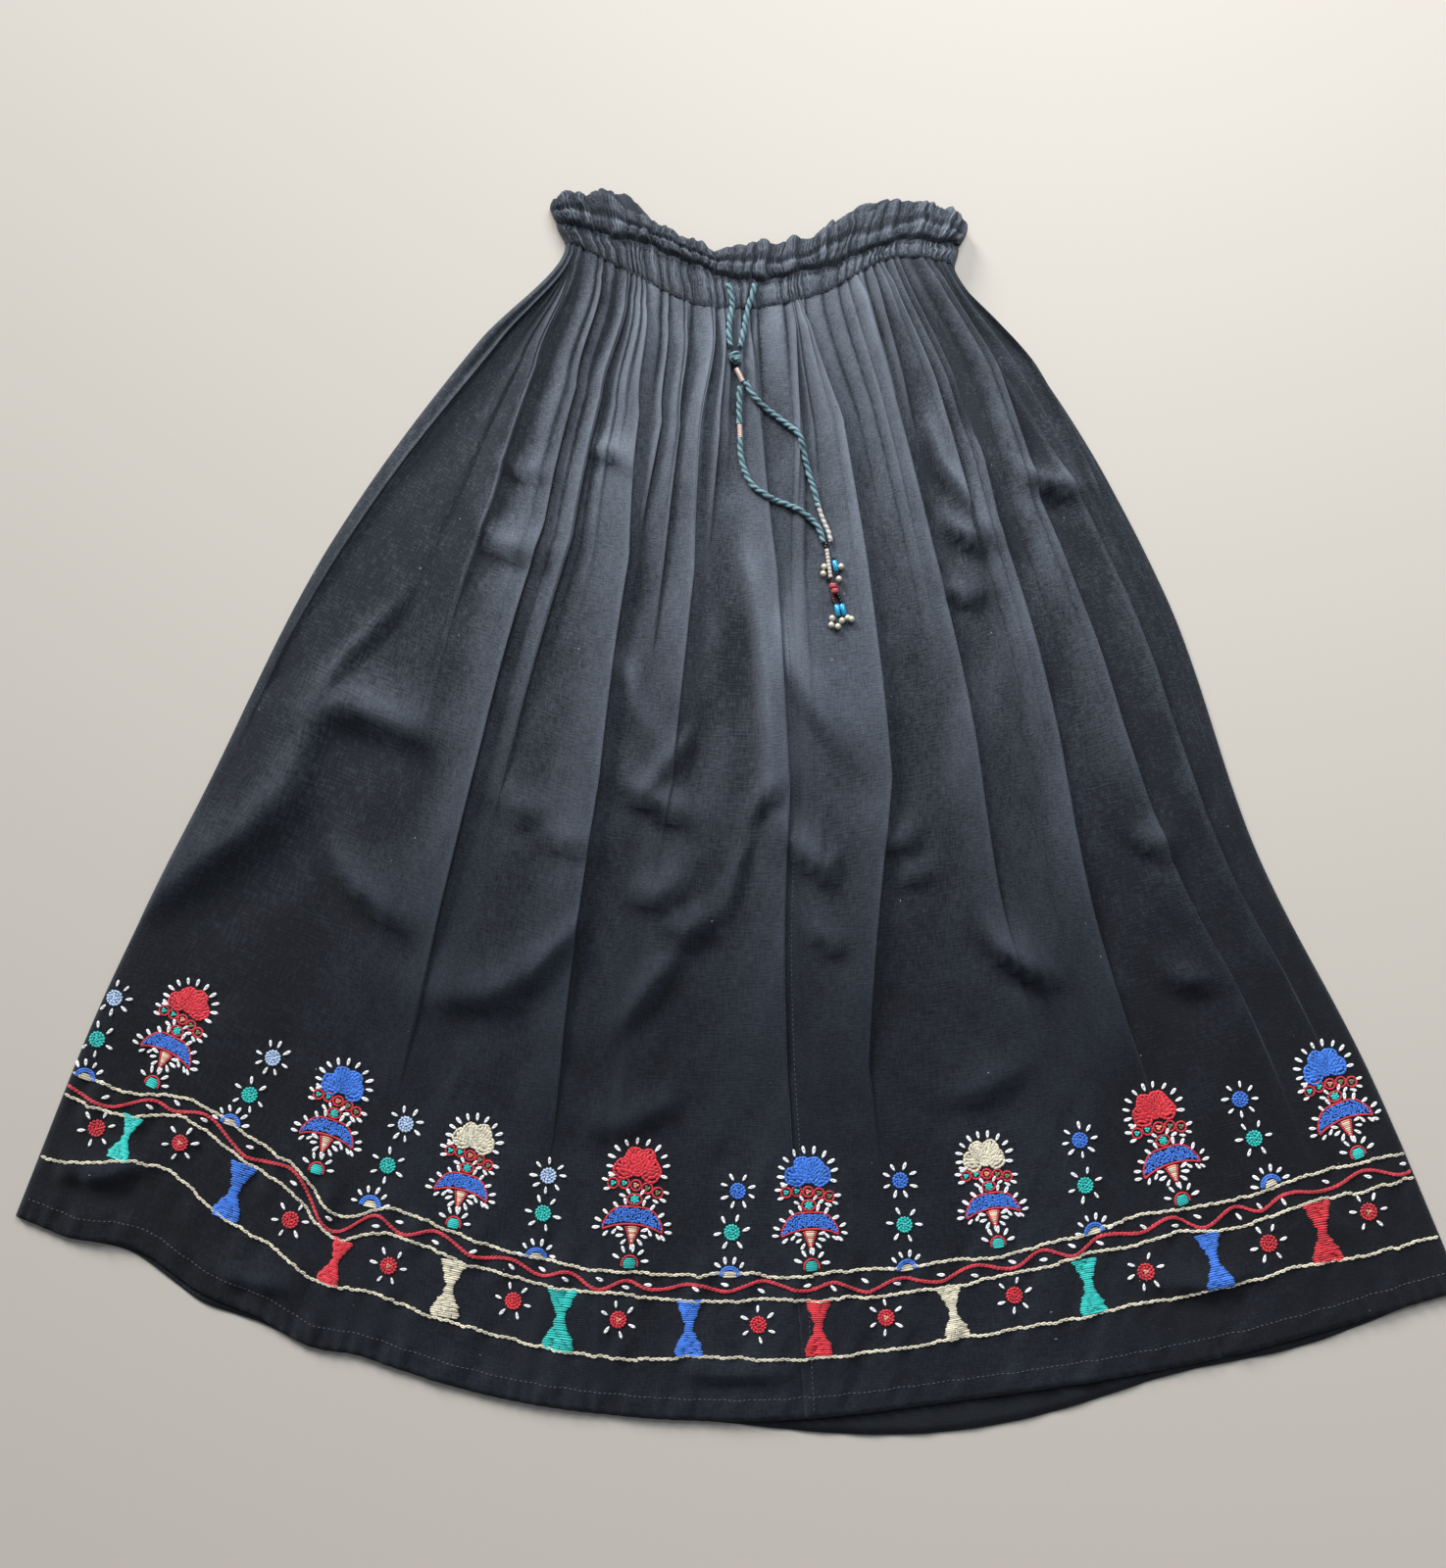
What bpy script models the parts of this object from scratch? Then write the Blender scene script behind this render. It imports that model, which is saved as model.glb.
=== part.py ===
"""Gathered drawstring skirt, laid flat on its back with the front up.

Metres, +Z up, origin at the bottom centre of the box that the cloth fills.
+Y runs from the hem to the waist, +X to the right of someone who looks down at it.
Every piece of cloth is one wall, placed by a fan map: u runs across the skirt
from the left side (0) to the right side (1), v runs down it from the lower
stitching of the drawstring channel (0) to the front hem (1).
"""
import math
from collections import namedtuple

import bmesh
import bpy
import numpy as np
from mathutils import Matrix, Vector
from mathutils.bvhtree import BVHTree

# Driving sizes
WALL = 0.0020
SEAM_GAP = 0.0003
LENGTH = 0.775
CENTRE = (0.0060, 0.00276)
GATHERS_FRONT = 36
GATHERS_BACK = 18
COLUMNS_PER_GATHER = 3
CORD_RADIUS = 0.0020
WRAP_RADIUS = 0.0024
SLEEVE_RADIUS = 0.0026
BALL_RADIUS = 0.0023

# Shares of the length where the cloth is stitched or cut
FRILL_EDGE = -0.052
CHANNEL_TOP = -0.024
CHANNEL_FOOT = 0.0
GATHERS_END = 0.20
HEM_ZONE = 0.80
WANDER_ZONE = 0.70
ZONE_FADE = 0.20
SIDE_ROLL = 0.07
SEAM_SHARE = 0.5 * SEAM_GAP / LENGTH

# The laid outline: how far down, both side edges, and how far the cloth hangs below
# the straight line between them at each sixth of its width
Section = namedtuple("Section", "share left_x left_y right_x right_y dip_1 dip_2 dip_3 dip_4 dip_5")
SECTIONS = [Section(*row) for row in (
    (FRILL_EDGE, -0.128, 0.436, 0.172, 0.420, 0.005, 0.029, 0.033, 0.015, -0.006),
    (CHANNEL_TOP, -0.121, 0.417, 0.163, 0.400, 0.011, 0.026, 0.036, 0.023, 0.002),
    (CHANNEL_FOOT, -0.118, 0.405, 0.163, 0.387, 0.022, 0.042, 0.042, 0.027, 0.000),
    (0.120, -0.180, 0.332, 0.221, 0.312, 0.031, 0.056, 0.061, 0.045, 0.015),
    (0.350, -0.284, 0.184, 0.309, 0.150, 0.042, 0.076, 0.084, 0.068, 0.034),
    (0.600, -0.369, 0.006, 0.372, -0.040, 0.047, 0.087, 0.094, 0.076, 0.042),
    (0.800, -0.435, -0.137, 0.442, -0.184, 0.052, 0.098, 0.106, 0.086, 0.047),
    (1.000, -0.490, -0.284, 0.502, -0.334, 0.058, 0.104, 0.112, 0.088, 0.053),
)]

# Height of the cloth down the skirt: how far the back swells off the surface, how
# much air lies between back and front, and how high the front's gathers stand
Layer = namedtuple("Layer", "share back_swell loft front_swell")
LAYERS = [Layer(*row) for row in (
    (FRILL_EDGE, 0.0050, 0.0030, 0.0035),
    (-0.038, 0.0060, 0.0050, 0.0040),
    (CHANNEL_TOP, 0.0040, 0.0015, 0.0030),
    (-0.018, 0.0058, 0.0048, 0.0036),
    (-0.006, 0.0058, 0.0048, 0.0036),
    (CHANNEL_FOOT, 0.0040, 0.0015, 0.0030),
    (0.030, 0.0050, 0.0035, 0.0040),
    (0.110, 0.0025, 0.0025, 0.0030),
    (GATHERS_END, 0.0, 0.0015, 0.0),
    (0.600, 0.0, 0.0010, 0.0),
    (1.000, 0.0, 0.0004, 0.0),
)]

# Large folds of the front: where each starts and ends, its height, its half width at
# both ends, and which side is steep (-1 left, 1 right)
Fold = namedtuple("Fold", "name u_top u_foot v_top v_foot height half_top half_foot lean")
FOLDS = [Fold(*row) for row in (
    ("side_left", 0.020, 0.012, 0.01, 0.60, 0.0050, 0.007, 0.010, 0.2),
    ("outer_left", 0.075, 0.125, 0.02, 0.58, 0.0065, 0.011, 0.026, -0.3),
    ("left", 0.165, 0.230, 0.02, 0.80, 0.0095, 0.010, 0.027, -0.5),
    ("left_tuck", 0.215, 0.285, 0.02, 0.30, 0.0055, 0.007, 0.013, 0.3),
    ("inner_left", 0.262, 0.353, 0.02, 0.90, 0.0090, 0.009, 0.028, -0.5),
    ("middle_left", 0.340, 0.432, 0.02, 0.46, 0.0070, 0.009, 0.020, 0.4),
    ("seam_left", 0.405, 0.470, 0.02, 0.42, 0.0060, 0.008, 0.016, -0.3),
    ("seam_low", 0.505, 0.494, 0.36, 0.76, 0.0040, 0.020, 0.030, 0.2),
    ("seam_right", 0.585, 0.600, 0.02, 0.34, 0.0060, 0.008, 0.015, 0.3),
    ("inner_right", 0.640, 0.615, 0.02, 0.86, 0.0090, 0.009, 0.028, 0.5),
    ("right", 0.708, 0.760, 0.02, 0.78, 0.0085, 0.009, 0.026, 0.4),
    ("right_tuck", 0.780, 0.795, 0.02, 0.30, 0.0060, 0.008, 0.014, -0.2),
    ("outer_right", 0.860, 0.833, 0.02, 0.88, 0.0090, 0.010, 0.028, 0.5),
    ("side_right", 0.930, 0.930, 0.03, 0.84, 0.0075, 0.010, 0.024, -0.4),
    ("hem_left", 0.055, 0.050, 0.70, 1.10, 0.0040, 0.020, 0.030, 0.2),
    ("hem_second", 0.155, 0.160, 0.76, 1.10, 0.0030, 0.020, 0.026, 0.2),
    ("hem_third", 0.290, 0.290, 0.80, 1.10, 0.0022, 0.020, 0.030, 0.0),
    ("hem_middle", 0.480, 0.480, 0.80, 1.10, 0.0020, 0.024, 0.036, 0.0),
    ("hem_right", 0.705, 0.700, 0.78, 1.10, 0.0024, 0.022, 0.034, 0.0),
)]

STEEPEN = 0.6
FOLD_RISE = 0.10
FOLD_FADE = 0.45

# Course of the centre front seam, which wanders as the cloth lies
SeamPoint = namedtuple("SeamPoint", "v u")
FRONT_SEAM = [SeamPoint(*row) for row in (
    (-0.02, 0.468), (0.0, 0.471), (0.08, 0.491), (0.14, 0.510), (0.25, 0.531),
    (0.34, 0.545), (0.49, 0.552), (0.69, 0.546), (0.87, 0.539), (1.0, 0.549),
)]

# How the cloth's rows wander down or up near the left corner
Drop = namedtuple("Drop", "u half_width drop")
WANDERS = [Drop(0.085, 0.055, -0.0120), Drop(0.205, 0.040, 0.0065)]

# Where the back's hem shows below the front's
BACK_HEM = [Drop(0.655, 0.200, 0.0205), Drop(0.880, 0.110, 0.0060), Drop(0.125, 0.100, 0.0055)]

# Rows of each wall, as shares of the length
FRILL_ROWS = (FRILL_EDGE, -0.038, CHANNEL_TOP - SEAM_SHARE)
CHANNEL_ROWS = (CHANNEL_TOP + SEAM_SHARE, -0.018, -0.006, CHANNEL_FOOT - SEAM_SHARE)
YOKE_ROWS = (CHANNEL_FOOT + SEAM_SHARE, 0.015, 0.030, 0.070, 0.110, GATHERS_END)
FRONT_ROWS = YOKE_ROWS + (0.27, 0.34, 0.41, 0.48, 0.56, 0.64, 0.72, 0.80, 0.87, 0.94, 1.0)
BACK_ROWS = YOKE_ROWS + (0.30, 0.40, 0.50, 0.60, 0.70, 0.80, 0.90, 1.0)

# The drawstring: points chosen by hand along each stretch, seen from above
LOOP_LEFT = ((-0.0002, 0.3692), (0.0019, 0.3613), (0.0026, 0.3548), (0.0012, 0.3455),
             (0.0003, 0.3370), (0.0004, 0.3300), (0.0014, 0.3232))
LOOP_RIGHT = ((0.0187, 0.3692), (0.0166, 0.3606), (0.0140, 0.3527), (0.0124, 0.3448),
              (0.0110, 0.3370), (0.0096, 0.3300), (0.0082, 0.3232))
STRAND_LONG = ((0.0123, 0.2981), (0.0140, 0.2942), (0.0165, 0.2893), (0.0214, 0.2840),
               (0.0318, 0.2762), (0.0422, 0.2677), (0.0500, 0.2591), (0.0530, 0.2480),
               (0.0573, 0.2315), (0.0617, 0.2167), (0.0629, 0.2120))
STRAND_WRAP = ((0.0630, 0.2116), (0.0650, 0.2050), (0.0673, 0.1985), (0.0706, 0.1905),
               (0.0722, 0.1836))
STRAND_SHORT = ((0.0083, 0.2951), (0.0076, 0.2883), (0.0075, 0.2819), (0.0077, 0.2683))
STRAND_TAIL = ((0.0083, 0.2581), (0.0082, 0.2513), (0.0109, 0.2365), (0.0171, 0.2238),
               (0.0282, 0.2160), (0.0406, 0.2111), (0.0523, 0.2050), (0.0603, 0.1985),
               (0.0650, 0.1912), (0.0668, 0.1836))
KNOT_CENTRE = (0.0047, 0.3150)
KNOT_HALF = (0.0045, 0.0065, 0.0035)
SLEEVE_UPPER = ((0.0056, 0.3078), (0.0099, 0.2986))
SLEEVE_LOWER = ((0.0078, 0.2679), (0.0082, 0.2585))
CORD_SPACING = 0.0085
PROBES = 8

# Bead tassels: a strung row of beads, with tubes and balls knotted in beside it
TASSEL_UPPER = ((0.0699, 0.1830), (0.0724, 0.1588))
TASSEL_LOWER = ((0.0737, 0.1560), (0.0780, 0.1290))
Bead = namedtuple("Bead", "length radius")
UPPER_ROW = [Bead(0.0028, 0.0015)] * 6 + [Bead(0.0020, 0.0021), Bead(0.0040, 0.0024)]
LOWER_ROW = [Bead(0.0038, 0.0023)] * 2 + [Bead(0.0024, 0.0014)] * 3 + [Bead(0.0110, 0.0018)]
BEAD_WAIST = 0.55
UPPER_BALLS = ((0.0683, 0.1672), (0.0745, 0.1668), (0.0690, 0.1610), (0.0752, 0.1600))
LOWER_BALLS = ((0.0755, 0.1305), (0.0808, 0.1318), (0.0771, 0.1273), (0.0805, 0.1282))

COLLECTION = "gathered_skirt"


def column(table, name):
    """One named column of a table."""
    return np.array([getattr(row, name) for row in table], dtype=float)


def smooth_through(x, knots, values):
    """A smooth curve through the values, read at x."""
    x = np.asarray(x, dtype=float)
    slopes = np.gradient(values, knots, axis=0)
    i = np.clip(np.searchsorted(knots, x) - 1, 0, len(knots) - 2)
    step = knots[i + 1] - knots[i]
    t = (x - knots[i]) / step
    start = (1 + 2 * t) * (1 - t) ** 2
    leave = t * (1 - t) ** 2 * step
    end = t * t * (3 - 2 * t)
    arrive = t * t * (t - 1) * step
    return start * values[i] + leave * slopes[i] + end * values[i + 1] + arrive * slopes[i + 1]


def ease(t):
    """From 0 to 1 without a corner."""
    t = min(max(t, 0.0), 1.0)
    return t * t * (3 - 2 * t)


SHARES = column(SECTIONS, "share")
EDGES = {name: column(SECTIONS, name) for name in Section._fields[1:]}
SIXTHS = np.linspace(0.0, 1.0, 7)
DIP_NAMES = ("dip_1", "dip_2", "dip_3", "dip_4", "dip_5")


def edge(name, v):
    """A side edge's coordinate at share v."""
    return float(smooth_through(v, SHARES, EDGES[name]))


def laid(u, v):
    """Where the cloth's point (u, v) lies, seen from above."""
    dips = np.array([0.0] + [edge(name, v) for name in DIP_NAMES] + [0.0])
    dip = float(smooth_through(u, SIXTHS, dips))
    dip += wander(u, v)
    x = (1 - u) * edge("left_x", v) + u * edge("right_x", v)
    y = (1 - u) * edge("left_y", v) + u * edge("right_y", v) - dip
    return x - CENTRE[0], y - CENTRE[1]


def hump(distance, half_width):
    """A soft bump, 1 in its middle and 0 at its half width."""
    t = min(abs(distance) / half_width, 1.0)
    return 0.5 + 0.5 * math.cos(math.pi * t)


def wander(u, v):
    """How much further down the cloth's rows run near the left corner."""
    low = ease((v - WANDER_ZONE) / ZONE_FADE)
    return low * sum(row.drop * hump(u - row.u, row.half_width) for row in WANDERS)


def layer(name, v):
    """One of the layer heights at share v."""
    return float(np.interp(v, column(LAYERS, "share"), column(LAYERS, name)))


def seam_u(v):
    """Where the centre front seam runs at share v."""
    return float(np.interp(v, column(FRONT_SEAM, "v"), column(FRONT_SEAM, "u")))


def side_width(v):
    """Width of the laid skirt at share v."""
    return edge("right_x", v) - edge("left_x", v)


def inside(u, roll=SIDE_ROLL):
    """0 on both side edges and 1 a little way in."""
    return ease(min(u, 1 - u) / roll)


def fold_height(u, v):
    """Height of the large folds over the air between the layers."""
    top = 0.0
    width = side_width(v)
    for fold in FOLDS:
        if not fold.v_top < v < fold.v_foot:
            continue
        t = (v - fold.v_top) / (fold.v_foot - fold.v_top)
        spread = math.sqrt(t)
        half = fold.half_top + (fold.half_foot - fold.half_top) * spread
        off = (u - fold.u_top - (fold.u_foot - fold.u_top) * spread) * width
        half *= 1 - STEEPEN * fold.lean if off > 0 else 1 + STEEPEN * fold.lean
        rise = ease(t / FOLD_RISE) * ease((1 - t) / FOLD_FADE)
        top = max(top, fold.height * rise * hump(off, half))
    return top


def gather(a, count, seed):
    """Height of one of a row of uneven gathers, from 0 to 1, at share a of the row."""
    index = math.floor(a * count)
    size = 0.80 + 0.20 * math.sin(2.4 * index + seed)
    return size * math.sin(math.pi * a * count) ** 2


def uneven(a, count, seed):
    """Shift of a share of a row, so that its gathers aren't evenly spaced."""
    return a + 0.25 / count * math.sin(2 * math.pi * 3.3 * a + seed) * math.sin(math.pi * a)


def back_underside(u, v, a, seed):
    """Height of the back's lower face: on the surface, but for gathers and rolled sides."""
    swell = layer("back_swell", v)
    rolled = 1 - inside(u)
    return swell * max(gather(a, GATHERS_BACK, seed) * inside(u), rolled)


def front_underside(u, v, wave):
    """Height of the front's lower face: over the back, with gathers and folds."""
    rest = layer("back_swell", v) + WALL + SEAM_GAP
    folds = fold_height(u, v) * inside(u, 0.5 * SIDE_ROLL)
    return rest + (layer("loft", v) + layer("front_swell", v) * wave) * inside(u) + folds


def back_drop(u, v):
    """How much further the back's hem runs than the front's, as a share of the length."""
    low = ease((v - HEM_ZONE) / ZONE_FADE)
    return low * sum(row.drop * hump(u - row.u, row.half_width) for row in BACK_HEM) / LENGTH


def new_material(name, colour, roughness, metallic=0.0):
    """A plain Principled material."""
    material = bpy.data.materials.new(name)
    material.use_nodes = True
    shader = material.node_tree.nodes["Principled BSDF"]
    shader.inputs["Base Color"].default_value = (*colour, 1.0)
    shader.inputs["Roughness"].default_value = roughness
    shader.inputs["Metallic"].default_value = metallic
    return material


def keep(piece, material):
    """Link a finished piece to the skirt's collection with its material."""
    piece.data.materials.append(material)
    bpy.data.collections[COLLECTION].objects.link(piece)
    return piece


def cloth_wall(name, columns, rows, place, material, fine_rows=None):
    """A wall of cloth: a grid of rows, moved by place(a, v) and given its thickness upwards.

    Past fine_rows every other column is dissolved, where the gathers have run out.
    """
    mesh = bmesh.new()
    bmesh.ops.create_grid(mesh, x_segments=columns, y_segments=len(rows) - 1, size=0.5)
    cell = {v: (round((v.co.x + 0.5) * columns), round((v.co.y + 0.5) * (len(rows) - 1)))
            for v in mesh.verts}
    if fine_rows is not None:
        spare = [e for e in mesh.edges
                 if all(cell[v][0] % 2 == 1 and cell[v][1] >= fine_rows for v in e.verts)]
        bmesh.ops.dissolve_edges(mesh, edges=spare, use_verts=True)
    for v in mesh.verts:
        i, j = cell[v]
        v.co = place(i / columns, rows[j])
    grown = bmesh.ops.extrude_face_region(mesh, geom=mesh.faces[:])
    upper = [item for item in grown["geom"] if isinstance(item, bmesh.types.BMVert)]
    bmesh.ops.translate(mesh, verts=upper, vec=(0.0, 0.0, WALL))
    bmesh.ops.recalc_face_normals(mesh, faces=mesh.faces[:])
    data = bpy.data.meshes.new(name)
    mesh.to_mesh(data)
    mesh.free()
    return keep(bpy.data.objects.new(name, data), material)


def front_panel(name, side, material):
    """Half of the front, from the centre front seam to one side edge."""
    count = GATHERS_FRONT // 2

    def place(a, v):
        seam = seam_u(v)
        half_gap = 0.5 * SEAM_GAP / side_width(v)
        shifted = uneven(a, count, side)
        if side < 0:
            u = shifted * (seam - half_gap)
        else:
            u = seam + half_gap + shifted * (1 - seam - half_gap)
        return (*laid(u, v), front_underside(u, v, gather(a, count, side)))

    columns = count * COLUMNS_PER_GATHER
    fine_rows = YOKE_ROWS.index(GATHERS_END)
    return cloth_wall(name, columns, FRONT_ROWS, place, material, fine_rows)


def back_panel(name, material):
    """The back in one piece, flat where it rests."""
    def place(a, v):
        u = uneven(a, GATHERS_BACK, 2.0)
        return (*laid(u, v + back_drop(u, v)), back_underside(u, v, a, 2.0))

    columns = GATHERS_BACK * COLUMNS_PER_GATHER
    fine_rows = YOKE_ROWS.index(GATHERS_END)
    return cloth_wall(name, columns, BACK_ROWS, place, material, fine_rows)


def front_band(name, rows, seed, material):
    """A gathered band along the front of the waist."""
    def place(a, v):
        u = uneven(a, GATHERS_FRONT, seed)
        return (*laid(u, v), front_underside(u, v, gather(a, GATHERS_FRONT, seed)))

    return cloth_wall(name, GATHERS_FRONT * COLUMNS_PER_GATHER, rows, place, material)


def back_band(name, rows, seed, material):
    """A gathered band along the back of the waist, under the front one."""
    def place(a, v):
        u = uneven(a, GATHERS_BACK, seed)
        return (*laid(u, v), back_underside(u, v, a, seed))

    return cloth_wall(name, GATHERS_BACK * COLUMNS_PER_GATHER, rows, place, material)


def surface_under(pieces):
    """A function that gives the highest cloth below a point, from the pieces' own faces."""
    mesh = bmesh.new()
    for piece in pieces:
        mesh.from_mesh(piece.data)
    tree = BVHTree.FromBMesh(mesh)
    mesh.free()

    def height(x, y):
        hit = tree.ray_cast(Vector((x, y, 0.2)), Vector((0.0, 0.0, -1.0)))
        return hit[0].z if hit[0] else 0.0

    return height


def rest_height(height, x, y, reach):
    """Highest cloth within reach of a point."""
    around = [(0.0, 0.0)]
    for part in (0.5, 1.0):
        for turn in range(12):
            angle = turn * math.pi / 6
            around.append((part * reach * math.cos(angle), part * reach * math.sin(angle)))
    return max(height(x + dx, y + dy) for dx, dy in around)


def centred(point):
    """A point seen from above, in the skirt's own frame."""
    return Vector((point[0] - CENTRE[0], point[1] - CENTRE[1]))


def resting(point, height, radius, reach):
    """A point seen from above, lifted to lie on the cloth."""
    flat = centred(point)
    return Vector((flat.x, flat.y, rest_height(height, flat.x, flat.y, reach) + radius + SEAM_GAP))


def settled(points, radius, height):
    """A round rod's points, lowered together until it lies on the cloth."""
    clear = []
    for start, end in zip(points, points[1:]):
        across = (end - start).to_2d().orthogonal().normalized()
        for step in range(PROBES + 1):
            middle = start.lerp(end, step / PROBES)
            for off in (-0.9, -0.6, -0.3, 0.0, 0.3, 0.6, 0.9):
                x, y = middle.to_2d() + across * off * radius
                clear.append(middle.z - radius * math.sqrt(1 - off * off) - height(x, y))
    drop = min(clear) - SEAM_GAP
    return [point - Vector((0.0, 0.0, drop)) for point in points]


def laid_cord(name, route, radius, height, material):
    """A stretch of cord or of its winding, lying on the cloth below it."""
    points = np.array(route)
    steps = np.linalg.norm(np.diff(points, axis=0), axis=1)
    along = np.concatenate([[0.0], np.cumsum(steps)])
    count = max(3, round(along[-1] / CORD_SPACING) + 1)
    places = np.linspace(0.0, along[-1], count)
    xs = smooth_through(places, along, points[:, 0])
    ys = smooth_through(places, along, points[:, 1])
    lifted = [resting(spot, height, radius, CORD_SPACING) for spot in zip(xs, ys)]
    curve = bpy.data.curves.new(name, "CURVE")
    curve.dimensions = "3D"
    curve.bevel_depth = radius
    curve.bevel_resolution = 2
    curve.use_fill_caps = True
    spline = curve.splines.new("POLY")
    spline.points.add(count - 1)
    for point, place in zip(spline.points, settled(lifted, radius, height)):
        point.co = (*place, 1.0)
    piece = bpy.data.objects.new(name, curve)
    curve.materials.append(material)
    bpy.data.collections[COLLECTION].objects.link(piece)
    return piece


def shade_round(piece):
    """Smooth shading on a round piece."""
    piece.data.shade_smooth()
    return piece


def ball(name, centre, half_sizes, segments=10):
    """A ball or egg, its half sizes along X, Y and Z."""
    mesh = bmesh.new()
    bmesh.ops.create_uvsphere(mesh, u_segments=segments, v_segments=segments // 2 + 1, radius=1.0)
    bmesh.ops.scale(mesh, vec=half_sizes, verts=mesh.verts[:])
    bmesh.ops.translate(mesh, vec=centre, verts=mesh.verts[:])
    data = bpy.data.meshes.new(name)
    mesh.to_mesh(data)
    mesh.free()
    return shade_round(bpy.data.objects.new(name, data))


def aimed(start, end):
    """Turns local Z onto the line from start to end, with its foot at start."""
    turn = (end - start).to_track_quat("Z", "Y").to_matrix().to_4x4()
    return Matrix.Translation(start) @ turn


def sleeve(name, ends, height, material):
    """A short wound tube on the cord."""
    lifted = [resting(point, height, SLEEVE_RADIUS, SLEEVE_RADIUS) for point in ends]
    start, end = settled(lifted, SLEEVE_RADIUS, height)
    mesh = bmesh.new()
    depth = (end - start).length
    bmesh.ops.create_cone(mesh, cap_ends=True, segments=10, radius1=SLEEVE_RADIUS,
                          radius2=SLEEVE_RADIUS, depth=depth)
    bmesh.ops.translate(mesh, vec=(0.0, 0.0, depth / 2), verts=mesh.verts[:])
    data = bpy.data.meshes.new(name)
    mesh.to_mesh(data)
    mesh.free()
    data.transform(aimed(start, end))
    return keep(bpy.data.objects.new(name, data), material)


def bead_profile(row):
    """Half outline of a strung row of beads, from its far end back to its start."""
    points = [(0.0, 0.0)]
    z = 0.0
    waist = 0.0
    for bead in row:
        waist = BEAD_WAIST * bead.radius
        points += [(waist, z + 0.04 * bead.length), (bead.radius, z + 0.5 * bead.length)]
        z += bead.length
    points += [(waist, 0.98 * z), (0.0, z)]
    return points[::-1]


def tassel(name, ends, row, balls, height, material):
    """A strung row of beads with balls beside it, as one solid on the cloth."""
    lifted = [resting(point, height, BALL_RADIUS, BALL_RADIUS) for point in (*ends, *balls)]
    level = max(point.z for point in lifted)
    start, end = settled([Vector((*centred(point), level)) for point in ends], BALL_RADIUS, height)
    level = max(start.z, *(point.z for point in lifted[2:]))
    start.z = end.z = level
    points = bead_profile(row)
    stretch = (end - start).length / points[0][1]
    data = bpy.data.meshes.new(name)
    corners = [(x, 0.0, z * stretch) for x, z in points]
    data.from_pydata(corners, [(i, i + 1) for i in range(len(corners) - 1)], [])
    piece = bpy.data.objects.new(name, data)
    turned = piece.modifiers.new("turned", "SCREW")
    turned.steps = 8
    turned.render_steps = 8
    turned.use_merge_vertices = True
    turned.merge_threshold = 0.00001
    turned.use_smooth_shade = True
    piece.matrix_world = aimed(start, end)
    for number, spot in enumerate(balls):
        flat = centred(spot)
        bead = ball(f"{name}_ball_{number}", (flat.x, flat.y, level), (BALL_RADIUS,) * 3, 8)
        bead.hide_render = True
        bead.display_type = "WIRE"
        bpy.data.collections["cutters"].objects.link(bead)
        joined = piece.modifiers.new(f"ball_{number}", "BOOLEAN")
        joined.operation = "UNION"
        joined.object = bead
    return keep(piece, material)


for old in list(bpy.data.objects):
    bpy.data.objects.remove(old, do_unlink=True)
for label in (COLLECTION, "cutters"):
    bpy.context.scene.collection.children.link(bpy.data.collections.new(label))

cotton = new_material("black_cotton", (0.035, 0.038, 0.045), 0.92)
cotton_back = new_material("black_cotton_back", (0.028, 0.030, 0.036), 0.92)
cord_cotton = new_material("teal_cord", (0.09, 0.22, 0.26), 0.75)
white_thread = new_material("white_winding", (0.62, 0.64, 0.62), 0.6)
copper_thread = new_material("copper_winding", (0.62, 0.34, 0.26), 0.35, 0.6)
glass_beads = new_material("bead_mix", (0.08, 0.42, 0.42), 0.2)
gold_beads = new_material("gold_beads", (0.55, 0.40, 0.16), 0.3, 0.8)

back_panel("back", cotton_back)
back_band("casing_back", CHANNEL_ROWS, 0.7, cotton_back)
back_band("frill_back", FRILL_ROWS, 1.9, cotton_back)
front_left = front_panel("front_left", -1, cotton)
front_right = front_panel("front_right", 1, cotton)
casing_front = front_band("casing_front", CHANNEL_ROWS, 0.4, cotton)
front_band("frill_front", FRILL_ROWS, 1.1, cotton)

cloth_top = surface_under([front_left, front_right, casing_front])
laid_cord("cord_loop_left", LOOP_LEFT, CORD_RADIUS, cloth_top, cord_cotton)
laid_cord("cord_loop_right", LOOP_RIGHT, CORD_RADIUS, cloth_top, cord_cotton)
laid_cord("cord_long", STRAND_LONG, CORD_RADIUS, cloth_top, cord_cotton)
laid_cord("cord_long_wrap", STRAND_WRAP, WRAP_RADIUS, cloth_top, white_thread)
laid_cord("cord_short", STRAND_SHORT, CORD_RADIUS, cloth_top, cord_cotton)
laid_cord("cord_short_tail", STRAND_TAIL, CORD_RADIUS, cloth_top, cord_cotton)
knot_middle = resting(KNOT_CENTRE, cloth_top, KNOT_HALF[2], KNOT_HALF[1])
keep(ball("cord_knot", knot_middle, KNOT_HALF), cord_cotton)
sleeve("sleeve_upper", SLEEVE_UPPER, cloth_top, copper_thread)
sleeve("sleeve_lower", SLEEVE_LOWER, cloth_top, copper_thread)
tassel("tassel_upper", TASSEL_UPPER, UPPER_ROW, UPPER_BALLS, cloth_top, glass_beads)
tassel("tassel_lower", TASSEL_LOWER, LOWER_ROW, LOWER_BALLS, cloth_top, gold_beads)
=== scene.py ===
import math
from collections import namedtuple

import bmesh
import bpy
import numpy as np
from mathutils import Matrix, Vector
from mathutils.bvhtree import BVHTree


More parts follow.
